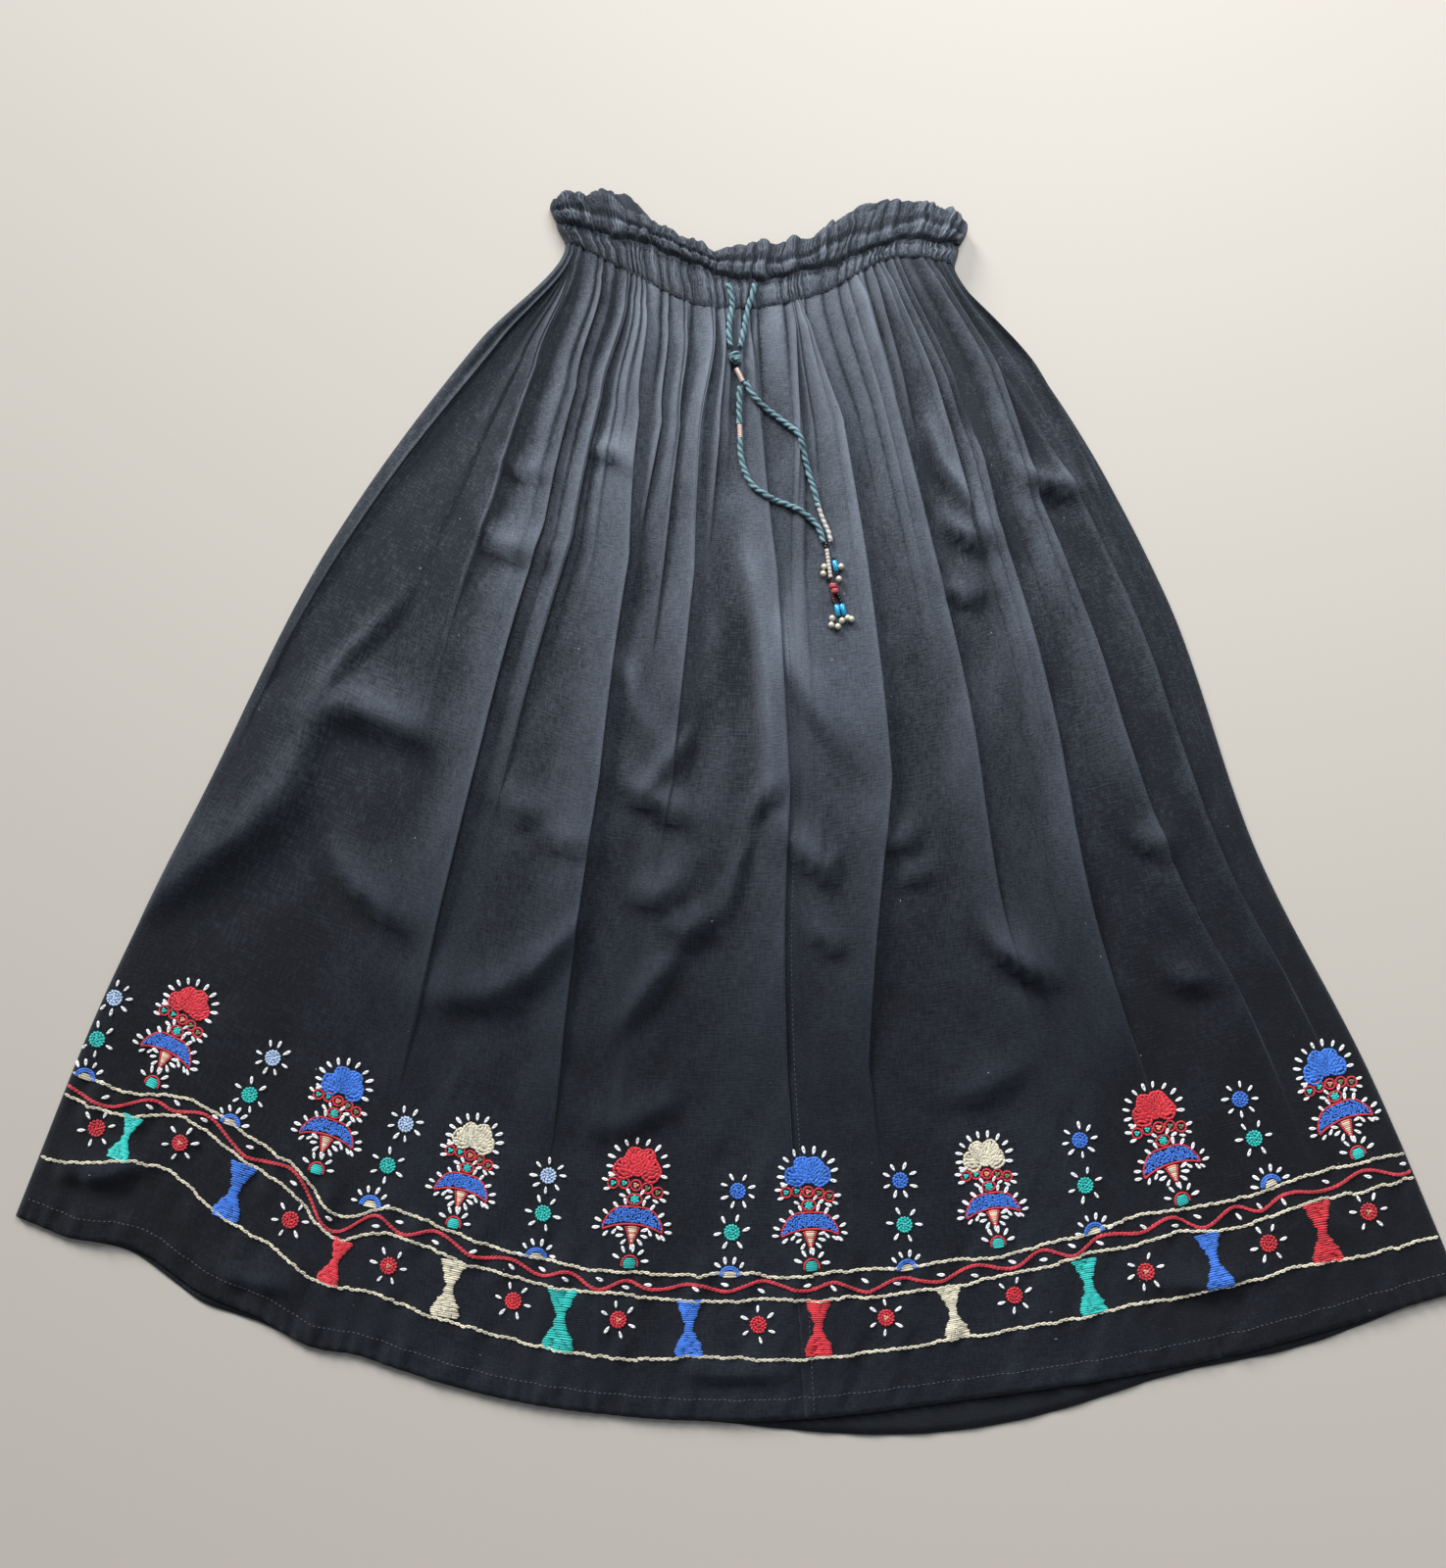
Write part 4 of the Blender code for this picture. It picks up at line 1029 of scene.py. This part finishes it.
def flower_foot(to):
    """A teal bud with petals, and over it a pod between two red lines."""
    outline("red", to, arc(4j, 5.6, 20, -0.35, np.pi + 0.35))
    half_round("teal", to, 4.0, (1.6, 3.0, 4.4, 5.8, 7.2))
    petals(to, 4j + 10.6 * np.exp(1j * np.radians((12, 48, 82, 118, 155))), 4j, 5.8, 2.9)
    petals(to, [15.5j], 4j, 5.2, 2.7)
    outline("red", to, np.concatenate([np.linspace(-4.6 + 29j, -0.4 + 17j, 12),
                                       np.linspace(0.4 + 17j, 4.6 + 29j, 12)]))
    for up in np.arange(19.5, 29.0, 1.35):
        half = 3.4 * (up - 16.5) / 12
        row("cream" if round(up / 1.35) % 3 else "salmon", to, complex(-half, up), complex(half, up))
    petals(to, [-8.6 + 27.5j, -8.4 + 22.8j, -5.6 + 18.6j, 8.6 + 27.5j, 8.4 + 23.0j, 5.8 + 18.8j], 25j)


def crescent(to):
    """A blue crescent, seeded and outlined in red, with petals over and under its ends."""
    upper, lower = arch(20.5, 30.0, 42.8, 4.0), arch(20.5, 26.4, 31.0, 2.2)
    seeds("blue", to, (-20 + 27j, 20 + 43j), lambda p: (
        32.0 - 4.6 * abs(p.real / 20.5) ** 2.2 < p.imag < 41.8 - 12.8 * abs(p.real / 20.5) ** 4))
    outline("red", to, np.concatenate([upper, lower[::-1], upper[:1]]))
    petals(to, [-25.2 + 27.2j, -24.0 + 32.4j, -19.4 + 38.0j, -12.6 + 43.2j, -6.4 + 46.0j, 25.0 + 27.0j,
                24.0 + 32.6j, 19.0 + 38.2j, 12.6 + 43.2j, 6.6 + 45.8j], 26j, 5.4, 2.9)
    petals(to, [-18.4 + 23.4j, -12.6 + 25.2j, 12.4 + 25.6j, 18.2 + 23.6j, 21.5 + 23.0j], 42j, 5.0, 2.7)


def lobe(colour, to, middle, radius):
    """One lobe of the flower's head, uneven, filled with long stitches that fan out."""
    middle = middle + complex(*hand.uniform(-0.6, 0.6, 2))
    angle = np.linspace(-0.25, 2 * np.pi - 0.25, 40)
    bulge = 1 + 0.07 * np.sin(2 * angle + hand.uniform(0, 6))
    bulge = bulge + 0.04 * np.sin(5 * angle + hand.uniform(0, 6))
    outline(colour, to, middle + radius * bulge * np.exp(1j * angle), 2.6, 1.9)
    for reach, count in ((radius * 0.22, 4), (radius * 0.62, 10)):
        for k in range(count):
            spot = middle + reach * np.exp(2j * np.pi * (k + 0.3 * reach) / count)
            way = (spot - 62j) / abs(spot - 62j) * turned(0.25)
            work(sewn[colour], to, spot, way, 0.0050, 0.0023)


def flower(motif):
    """A lobed flower on a row of rings, a blue crescent, a pod and a small foot."""
    to = motif_axes((motif.foot_u, motif.foot_v), (motif.top_u, motif.top_v), FLOWER_TALL)
    flower_foot(to)
    crescent(to)
    oval = arc(48j, 5.0, 22)
    outline("red", to, oval - 0.28j * (oval.imag - 48.0))
    disc("teal", to, 48j, 2.8)
    petals(to, [-8.6 + 50.0j, -4.8 + 53.0j, 4.8 + 53.0j, 8.8 + 50.0j], 46j, 4.8, 2.7)
    for middle, heart in ((-16.0 + 58.0j, "teal"), (-8.2 + 58.4j, "teal"), (57.6j, "salmon"),
                          (8.0 + 56.2j, "olive"), (15.4 + 53.6j, "olive")):
        outline("red", to, arc(middle, 3.6, 16))
        disc(heart, to, middle, 2.0)
    petals(to, [-21.6 + 60.0j, -20.0 + 53.8j, -17.6 + 64.0j, 21.2 + 54.0j, 19.4 + 48.6j, 14.4 + 47.6j],
           56j, 5.2, 2.8)
    disc(motif.colour, to, 0.4 + 68.5j, 5.0)
    for middle, radius in ((-8.6 + 68.6j, 7.0), (9.2 + 68.2j, 6.8), (-3.4 + 76.2j, 6.0),
                           (5.2 + 75.4j, 6.4)):
        lobe(motif.colour, to, middle, radius)
    turns = np.exp(1j * np.radians((-22, 4, 27, 50, 74, 96, 118, 141, 163, 186, 208)))
    petals(to, 0.4 + 71.0j + turns.real * 19.6 + 1j * turns.imag * 16.6, 0.4 + 68j, 5.8, 2.9)


def chain(line):
    """A line of cream chain stitch, each link caught in the one before, on a wavering line."""
    spots, ways = paced(line, 0.0040)
    sway = np.convolve(hand.normal(0.0, 0.0016, len(spots) + 8), np.ones(9) / 4.5, mode="valid")
    for k, (spot, way) in enumerate(zip(spots + 1j * ways * sway, ways)):
        slant = np.exp(1j * (hand.normal(0.0, 0.07) + (0.10 if k % 2 else -0.10)))
        links["cream"].append(Stitch(spot, way * slant, 0.0052, 0.0029))


share = np.linspace(0.002, 0.998, 900)
top_v = through(share, TOP_CHAIN[:, 0], TOP_CHAIN[:, 1:])[:, 0]
low_v = through(share, LOW_CHAIN[:, 0], LOW_CHAIN[:, 1:])[:, 0]
for line_v in (top_v, top_v + CHAIN_GAP, low_v):
    chain(at(share, line_v))

vine_turns = np.concatenate([[-0.01], np.cumsum(hand.uniform(0.014, 0.036, 70))])
vine_turns = vine_turns[vine_turns < 1.05]
vine_side = hand.uniform(0.0024, 0.0066, len(vine_turns))
vine_side[::2] *= -1
vine_middle = top_v + VINE_DROP
vine = vine_middle + through(share, vine_turns, vine_side[:, None])[:, 0]
for gap in (-0.0005, 0.0006):
    for spot, way in zip(*paced(at(share, vine + gap), 0.0028)):
        sewn["dull_red"].append(Stitch(spot, way * turned(0.12, 0.25), 0.0040, 0.0014))
for turn, side in zip(vine_turns[1:], vine_side[1:]):
    if 0.005 < turn < 0.995:
        spot = at(turn, np.interp(turn, share, vine_middle) - 0.5 * side)[0]
        links["white"].append(Stitch(spot, turned(0.3, -0.35), 0.0058, 0.0031))

for motif in HOURGLASSES:
    hourglass(motif)
for number, spot in enumerate(SUNS):
    sun("red", upright(spot), 0j, 5.7, 6, 0.4 + 0.9 * number, "salmon" if number % 2 else None)
for stack in STACKS:
    for colour, spot, rays, turn in ((stack.colour, stack.top, 8, 0.5), ("teal", stack.middle, 6, 0.9)):
        sun(colour, upright(spot), 0j, 5.4, rays, turn + hand.uniform(-0.3, 0.3))
    to = upright(stack.line)
    outline("blue", to, arc(-4j, 7.0, 16, 0.1, np.pi - 0.1), width=1.6)
    outline("blue", to, arc(-4j, 5.6, 14, 0.1, np.pi - 0.1), width=1.6)
    half_round("cream", to, -4.0, (-3.6, -2.2, -0.8), 1.5)
    petals(to, -4j + 11.4 * np.exp(1j * np.radians((12, 44, 74, 106, 136, 168))), -4j, 5.4, 2.9)
for motif in FLOWERS:
    flower(motif)

for kind, piles, shape, thick in (("stitches_", sewn, STITCH_SHAPE, FLAT_STITCH),
                                  ("links_", links, LINK_SHAPE, LINK)):
    for colour, stitches in piles.items():
        if stitches:
            tiled(kind + colour, [Batch(shape, seated(stitches, thick), THREADS[colour])])


# The drawstring
# A teal cotton cord of two plies, 4 mm thick. Both ends come out of the channel at the
# centre front and meet in a knot, below which each end runs on to a tassel of beads.
LOOP_LEFT = ((-0.0002, 0.3692), (0.0019, 0.3613), (0.0026, 0.3548), (0.0012, 0.3455),
             (0.0003, 0.3370), (0.0004, 0.3300), (0.0014, 0.3232))
LOOP_RIGHT = ((0.0187, 0.3692), (0.0166, 0.3606), (0.0140, 0.3527), (0.0124, 0.3448),
              (0.0110, 0.3370), (0.0096, 0.3300), (0.0082, 0.3232))
STRAND_LONG = ((0.0123, 0.2981), (0.0140, 0.2942), (0.0165, 0.2893), (0.0214, 0.2840),
               (0.0318, 0.2762), (0.0422, 0.2677), (0.0500, 0.2591), (0.0530, 0.2480),
               (0.0573, 0.2315), (0.0617, 0.2167), (0.0629, 0.2120))
STRAND_WRAP = ((0.0630, 0.2116), (0.0650, 0.2050), (0.0673, 0.1985), (0.0706, 0.1905),
               (0.0722, 0.1836))
STRAND_SHORT = ((0.0083, 0.2951), (0.0076, 0.2883), (0.0075, 0.2819), (0.0077, 0.2683))
STRAND_TAIL = ((0.0083, 0.2581), (0.0082, 0.2513), (0.0109, 0.2365), (0.0171, 0.2238),
               (0.0282, 0.2160), (0.0406, 0.2111), (0.0523, 0.2050), (0.0603, 0.1985),
               (0.0650, 0.1912), (0.0668, 0.1836))
CORD_RADIUS = 0.0020
CORD_STEP = 0.0007
CORD_SIDES = 24
PLIES = 2
LAY = 0.0120
PRESS = 0.0006    # how far a cord sinks into the cloth


def cloth_height(x, y, reach):
    """The highest cloth within reach of a point seen from above."""
    ring = [part * reach * np.exp(0.25j * math.pi * turn) for part in (0.0, 0.5, 1.0) for turn in range(8)]
    return max(touch(complex(x, y) + away) for away in ring)


def resting_line(route, radius, step=CORD_STEP):
    """A given route, as close points on a smooth curve that lies on the cloth."""
    window = np.hanning(15) / np.hanning(15).sum()

    def stiff(heights):
        return np.convolve(np.pad(heights, 7, mode="edge"), window, mode="valid")

    along = distances(np.array(route))
    places = np.linspace(0.0, along[-1], max(8, round(along[-1] / step)))
    flat = through(places, along, np.array(route)) - np.array(CENTRE)
    heights = np.array([cloth_height(x, y, 0.8 * radius) for x, y in flat])
    return np.column_stack([flat, stiff(np.maximum(stiff(heights), heights - PRESS) + 0.92 * radius)])


def tube(name, line, material, profile):
    """A closed tube along a line of points; profile(angle, distance) gives its radius, and the groove
    attribute, 0 where the material paints shade in a groove.
    """
    rings = len(line)
    steps = distances(line)
    ahead = np.gradient(line, axis=0)
    ahead /= np.linalg.norm(ahead, axis=1)[:, None]
    side = np.cross(ahead, (0.0, 0.0, 1.0))
    side /= np.linalg.norm(side, axis=1)[:, None]
    up = np.cross(side, ahead)
    net = bmesh.new()
    bmesh.ops.create_grid(net, x_segments=CORD_SIDES, y_segments=rings - 1, size=0.5)
    deep = net.verts.layers.float.new("groove")
    for vert in net.verts:
        angle = (vert.co.x + 0.5) * 2 * math.pi
        ring = round((vert.co.y + 0.5) * (rings - 1))
        radius, vert[deep] = profile(angle, steps[ring])
        vert.co = line[ring] + radius * (math.cos(angle) * side[ring] + math.sin(angle) * up[ring])
    bmesh.ops.remove_doubles(net, verts=net.verts[:], dist=1e-7)
    bmesh.ops.holes_fill(net, edges=[edge for edge in net.edges if edge.is_boundary])
    bmesh.ops.recalc_face_normals(net, faces=net.faces[:])
    mesh = bpy.data.meshes.new(name)
    net.to_mesh(mesh)
    net.free()
    return placed(name, mesh, material)


def twisted(radius, plies, lay, bound=()):
    """A profile of plies that wind about each other, drawn in where thread or beads cover them."""
    def profile(angle, distance):
        turn = angle - 2 * math.pi * distance / lay - 0.35 * math.sin(distance * 410)
        lobe = abs(math.cos(plies * turn / 2))
        strand = 0.5 + 0.5 * math.cos(6 * plies * turn + 900 * distance)
        tight = 0.62 if any(start < distance < end for start, end in bound) else 1.0
        full = 1.0 + 0.05 * math.sin(distance * 530) + 0.04 * math.sin(distance * 1270)
        reach = tight * full * radius * (0.52 + 0.50 * lobe ** 0.75 + 0.03 * strand)
        # The second value is 1 on a ply's crown and falls to 0 in the groove between plies, where the
        # material paints shade.
        return reach, lobe * (0.8 + 0.2 * strand)
    return profile


def wound(radius, pitch):
    """A profile of fine thread wound round and round."""
    def profile(angle, distance):
        lobe = abs(math.cos(angle / 2 - math.pi * distance / pitch))
        # The second value is 1 on the thread's crown and 0 between turns, where the material paints shade.
        return radius * (0.90 + 0.10 * lobe), lobe
    return profile


def spun(name, groove_shade, light, roughness=0.7, metallic=0.0):
    """Spun cotton or silk, with painted shade in its grooves, and fine fibres."""
    material, tree = new_material(name, {
        "Roughness": roughness, "Metallic": metallic, "Sheen Weight": 0.3, "Specular IOR Level": 0.35})
    groove = node(tree, "ShaderNodeAttribute", attribute_name="groove").outputs["Fac"]
    fibre = own_noise(tree, 1400.0)
    lightness = maths(tree, "MULTIPLY", groove, maths(tree, "ADD", maths(tree, "MULTIPLY", fibre, 0.7), 0.5))
    cover(tree, mixed(tree, lightness, groove_shade, light), fibre, 0.5, 0.0002)
    return material


# The first colour of each is the painted shade in its grooves.
teal_cord = spun("teal_cord", paint(30, 52, 62), paint(132, 172, 184))
white_wound = spun("white_winding", paint(96, 96, 98), paint(226, 220, 216), 0.6)
copper_wound = spun("copper_winding", paint(128, 100, 92), paint(250, 222, 210), 0.35, 0.2)

CORDS = (
    ("drawstring_loop_left", [LOOP_LEFT], ["cord_loop_left"], ()),
    ("drawstring_loop_right", [LOOP_RIGHT], ["cord_loop_right"], ()),
    ("drawstring_long_end", [STRAND_LONG, STRAND_WRAP], ["cord_long"], [(0.110, 0.2)]),
    ("drawstring_short_end", [STRAND_SHORT, STRAND_TAIL], ["cord_short", "cord_short_tail"],
     [(0.0275, 0.0365)]),
)
cord_lines = {}
for name, routes, nodes, bound in CORDS:
    line = resting_line(sum(routes, ()), CORD_RADIUS)
    cord_lines[name] = line
    piece = tube(name, line, teal_cord, twisted(CORD_RADIUS, PLIES, LAY, bound))
    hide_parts(*nodes)
wrap = tube("long_end_winding", resting_line(STRAND_WRAP, CORD_RADIUS), white_wound,
            wound(0.0016, 0.0042))
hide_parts("cord_long_wrap")


# The knot and the wound sleeves
# An overhand knot of the same cord draws both ends together. Copper-pink thread is wound
# round the cord just under the knot and again a little lower on the short end.
KNOT = (0.0047, 0.3150)
SLEEVE_UPPER = ((0.0056, 0.3078), (0.0099, 0.2986))
SLEEVE_LOWER = ((0.0078, 0.2679), (0.0082, 0.2585))
knot_x, knot_y = KNOT[0] - CENTRE[0], KNOT[1] - CENTRE[1]
knot_z = cloth_height(knot_x, knot_y, 0.003) + 0.0032
turns = np.linspace(-0.3, 2.3, 120)
knot_line = np.column_stack([
    knot_x + 0.0027 * np.cos(2 * np.pi * turns) + 0.0006 * (turns - 1.0),
    knot_y + 0.0026 - 0.0024 * turns + 0.0006 * np.sin(2 * np.pi * turns),
    knot_z + 0.0018 * np.sin(2 * np.pi * turns),
])
knot = tube("drawstring_knot", knot_line, teal_cord, twisted(0.0016, PLIES, LAY))
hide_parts("cord_knot")
sleeves = []
for name, ends in (("sleeve_upper", SLEEVE_UPPER), ("sleeve_lower", SLEEVE_LOWER)):
    middle = tuple((a + b) / 2 for a, b in zip(*ends))
    line = resting_line((ends[0], middle, ends[1]), 0.0022, 0.0003)
    sleeve = tube("wound_" + name, line, copper_wound, wound(0.0018, 0.0012))
    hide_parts(name)
    sleeves.append(sleeve)


# The tassels
# Glass seed beads, turquoise tubes and dull gold balls, strung on thread below each end of
# the drawstring. They lie beside each other on the cloth.
Bead = namedtuple("Bead", "kind x y turn")
STRING_WHITE = [Bead("seed_white", 0.0694 + 0.00032 * k, 0.1776 - 0.0026 * k, 0.12) for k in range(8)]
TASSEL_UPPER = STRING_WHITE + [Bead(*row) for row in (
    ("seed_black", 0.0687, 0.1803, 0.1), ("seed_black", 0.0690, 0.1822, 0.1),
    ("tube", 0.0752, 0.1662, 0.20),
    ("seed_black", 0.0742, 0.1716, 0.3), ("ball", 0.0673, 0.1660, 0.0),
    ("ball", 0.0666, 0.1611, 0.0), ("ball", 0.0790, 0.1655, 0.0),
    ("ball", 0.0775, 0.1568, 0.0), ("seed_black", 0.0706, 0.1572, 0.2),
    ("seed_black", 0.0764, 0.1605, 0.2),
)]
TASSEL_LOWER = [Bead(*row) for row in (
    ("red", 0.0734, 0.1520, 0.12), ("red", 0.0747, 0.1483, 0.12),
    ("seed_copper", 0.0735, 0.1452, 0.1), ("seed_copper", 0.0737, 0.1430, 0.1),
    ("seed_black", 0.0740, 0.1408, 0.1), ("seed_black", 0.0750, 0.1388, 0.3),
    ("seed_black", 0.0771, 0.1455, 0.3), ("seed_black", 0.0779, 0.1434, 0.3),
    ("seed_black", 0.0787, 0.1412, 0.3), ("seed_black", 0.0795, 0.1392, 0.3),
    ("tube", 0.0764, 0.1346, 0.16), ("tube", 0.0804, 0.1349, 0.28),
    ("ball", 0.0727, 0.1291, 0.0),
    ("ball", 0.0720, 0.1243, 0.0), ("ball", 0.0766, 0.1231, 0.0),
    ("ball", 0.0795, 0.1272, 0.0), ("ball", 0.0835, 0.1289, 0.0),
    ("ball", 0.0860, 0.1279, 0.0),
)]
BEAD_SIZES = {"seed_white": (0.0015, 0.0025), "seed_black": (0.0013, 0.0020),
              "seed_copper": (0.0013, 0.0020), "tube": (0.0018, 0.0080),
              "red": (0.0027, 0.0034), "ball": (0.0022, 0.0043)}


def glass(name, colour, roughness, metallic=0.0, coat=0.0):
    """Glass or plated metal, a little uneven."""
    material, tree = new_material(name, {"Metallic": metallic, "Coat Weight": coat})
    shader = tree.nodes["Principled BSDF"]
    cloud = own_noise(tree, 420.0)
    rough = node(tree, "ShaderNodeMapRange", in_0=cloud, in_3=roughness, in_4=roughness + 0.2)
    tree.links.new(mixed(tree, cloud, darker(colour, 0.55), colour), shader.inputs["Base Color"])
    tree.links.new(rough.outputs[0], shader.inputs["Roughness"])
    return material


BEAD_MATERIALS = {
    "seed_white": glass("pearl_seed", paint(228, 216, 210), 0.35),
    "seed_black": glass("black_seed", paint(24, 24, 28), 0.12, coat=0.5),
    "seed_copper": glass("copper_seed", paint(120, 62, 50), 0.25, 0.4),
    "tube": glass("turquoise_tube", paint(44, 176, 226), 0.2, coat=0.4),
    "red": glass("coral_bead", paint(206, 84, 92), 0.3, coat=0.2),
    "ball": glass("dull_gold", paint(232, 226, 202), 0.35, 0.25),
}


def turned_shape(profile, sides):
    """A closed round shape from the (radius, height) points of its outline."""
    net = bmesh.new()
    verts = [net.verts.new((radius, 0.0, height)) for radius, height in profile]
    edges = [net.edges.new(pair) for pair in zip(verts[:-1], verts[1:])]
    bmesh.ops.spin(net, geom=verts + edges, axis=(0, 0, 1), cent=(0, 0, 0), steps=sides,
                   angle=2 * math.pi)
    bmesh.ops.remove_doubles(net, verts=net.verts[:], dist=1e-5)
    bmesh.ops.recalc_face_normals(net, faces=net.faces[:])
    for vert in net.verts:
        vert.co = (vert.co.z, vert.co.x, vert.co.y)
    return shape_of(net)


HALF_RIM = [(0.40, 0.80), (0.45, 0.95), (0.62, 1.0), (0.84, 0.92), (0.97, 0.70), (1.0, 0.35)]
HALF_TUBE = [(0.0, 0.96), (0.5, 0.96), (0.55, 1.0), (0.85, 1.0), (1.0, 0.97)]
BALL_CAP = 1.08


def both_ends(half):
    """A profile and its mirror image, from one end of a bead to the other."""
    return [(radius, -height) for radius, height in half] + half[::-1]


def ball_profile():
    """Half a circle, a little longer at both ends, where the hole is."""
    turns = np.linspace(0.0, math.pi, 13)
    caps = np.where(np.abs(turns - 1.57) > 1.2, BALL_CAP, 1.0)
    return list(zip(np.sin(turns), -np.cos(turns) * caps))


BEAD_SHAPE = turned_shape(both_ends([(0.0, 0.80)] + HALF_RIM), 16)
TUBE_SHAPE = turned_shape(both_ends(HALF_TUBE), 16)
BALL_SHAPE = turned_shape(ball_profile(), 18)


def strung(beads, kind):
    """Frames for the beads of one kind, which lie on the cloth."""
    radius, length = BEAD_SIZES[kind]
    frames = []
    for spec in beads:
        if spec.kind == kind:
            x, y = spec.x - CENTRE[0], spec.y - CENTRE[1]
            ahead = np.array([math.sin(spec.turn), -math.cos(spec.turn), 0.0])
            side = np.cross((0.0, 0.0, 1.0), ahead)
            frames.append([(x, y, cloth_height(x, y, radius) + radius), ahead * length / 2,
                           side * radius, (0.0, 0.0, radius)])
    return np.array(frames)


tassels = []
for name, beads in (("tassel_upper", TASSEL_UPPER), ("tassel_lower", TASSEL_LOWER)):
    batches = []
    for kind in sorted({spec.kind for spec in beads}):
        shape = {"ball": BALL_SHAPE, "tube": TUBE_SHAPE}.get(kind, BEAD_SHAPE)
        batches.append(Batch(shape, strung(beads, kind), BEAD_MATERIALS[kind]))
    piece = tiled("beads_" + name, batches)
    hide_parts(name)
    tassels.append(piece)

for name, far_end, beside in (
        ("drawstring_loop_left", "knot", [knot]),
        ("drawstring_loop_right", "knot", [knot]),
        ("drawstring_long_end", "fitting", [sleeves[0], wrap, tassels[0], tassels[1]]),
        ("drawstring_short_end", "fitting", [sleeves[1], tassels[0]])):
    line = cord_lines[name]
    length = float(distances(line)[-1])


# The floor, the light and the camera
# A plain pale floor, a low, soft light from beyond the waist on the left, as from a window, a
# cooler ceiling light, and the camera above the skirt, tilted a little towards the waist.
net = bmesh.new()
bmesh.ops.create_grid(net, x_segments=1, y_segments=1, size=6.0)
mesh = bpy.data.meshes.new("floor")
net.to_mesh(mesh)
net.free()
floor = bpy.data.objects.new("floor", mesh)
bpy.context.scene.collection.objects.link(floor)
mesh.materials.append(new_material("pale_floor", {
    "Base Color": paint(196, 190, 181), "Roughness": 0.6})[0])

Lamp = namedtuple("Lamp", "name kind place aim size strength colour")
LAMPS = (
    Lamp("window", "SUN", (-1.45, 2.3, 1.05), (0.0, 0.0, 0.0), 0.34, 3.7, (1.0, 0.98, 0.96)),
    Lamp("ceiling", "AREA", (0.4, 1.35, 1.45), (0.0, 0.3, 0.0), 1.4, 36.0, (0.96, 0.98, 1.0)),
)
for lamp in LAMPS:
    light = bpy.data.lights.new(lamp.name, lamp.kind)
    light.energy = lamp.strength
    light.color = lamp.colour
    if lamp.kind == "SUN":
        light.angle = lamp.size
    else:
        light.shape = "DISK"
        light.size = lamp.size
    holder = bpy.data.objects.new(lamp.name, light)
    holder.location = lamp.place
    aim = Vector(lamp.aim) - Vector(lamp.place)
    holder.rotation_euler = aim.to_track_quat("-Z", "Y").to_euler()
    bpy.context.scene.collection.objects.link(holder)

world = bpy.data.worlds.new("room")
world.use_nodes = True
background = world.node_tree.nodes["Background"]
background.inputs["Color"].default_value = (0.85, 0.92, 1.0, 1.0)
background.inputs["Strength"].default_value = 0.20
bpy.context.scene.world = world
bpy.context.scene.view_settings.view_transform = "Standard"

CAMERA_FOOT = (-0.004, -0.068)
CAMERA_HEIGHT = 1.032
CAMERA_TILT = math.radians(4.5)
camera = bpy.data.objects.new("camera", bpy.data.cameras.new("camera"))
camera.data.lens = 33.75
camera.data.sensor_width = 36.0
camera.location = (CAMERA_FOOT[0] - CENTRE[0], CAMERA_FOOT[1] - CENTRE[1], CAMERA_HEIGHT)
camera.rotation_euler = (CAMERA_TILT, 0.0, 0.0)
bpy.context.scene.collection.objects.link(camera)
bpy.context.scene.camera = camera
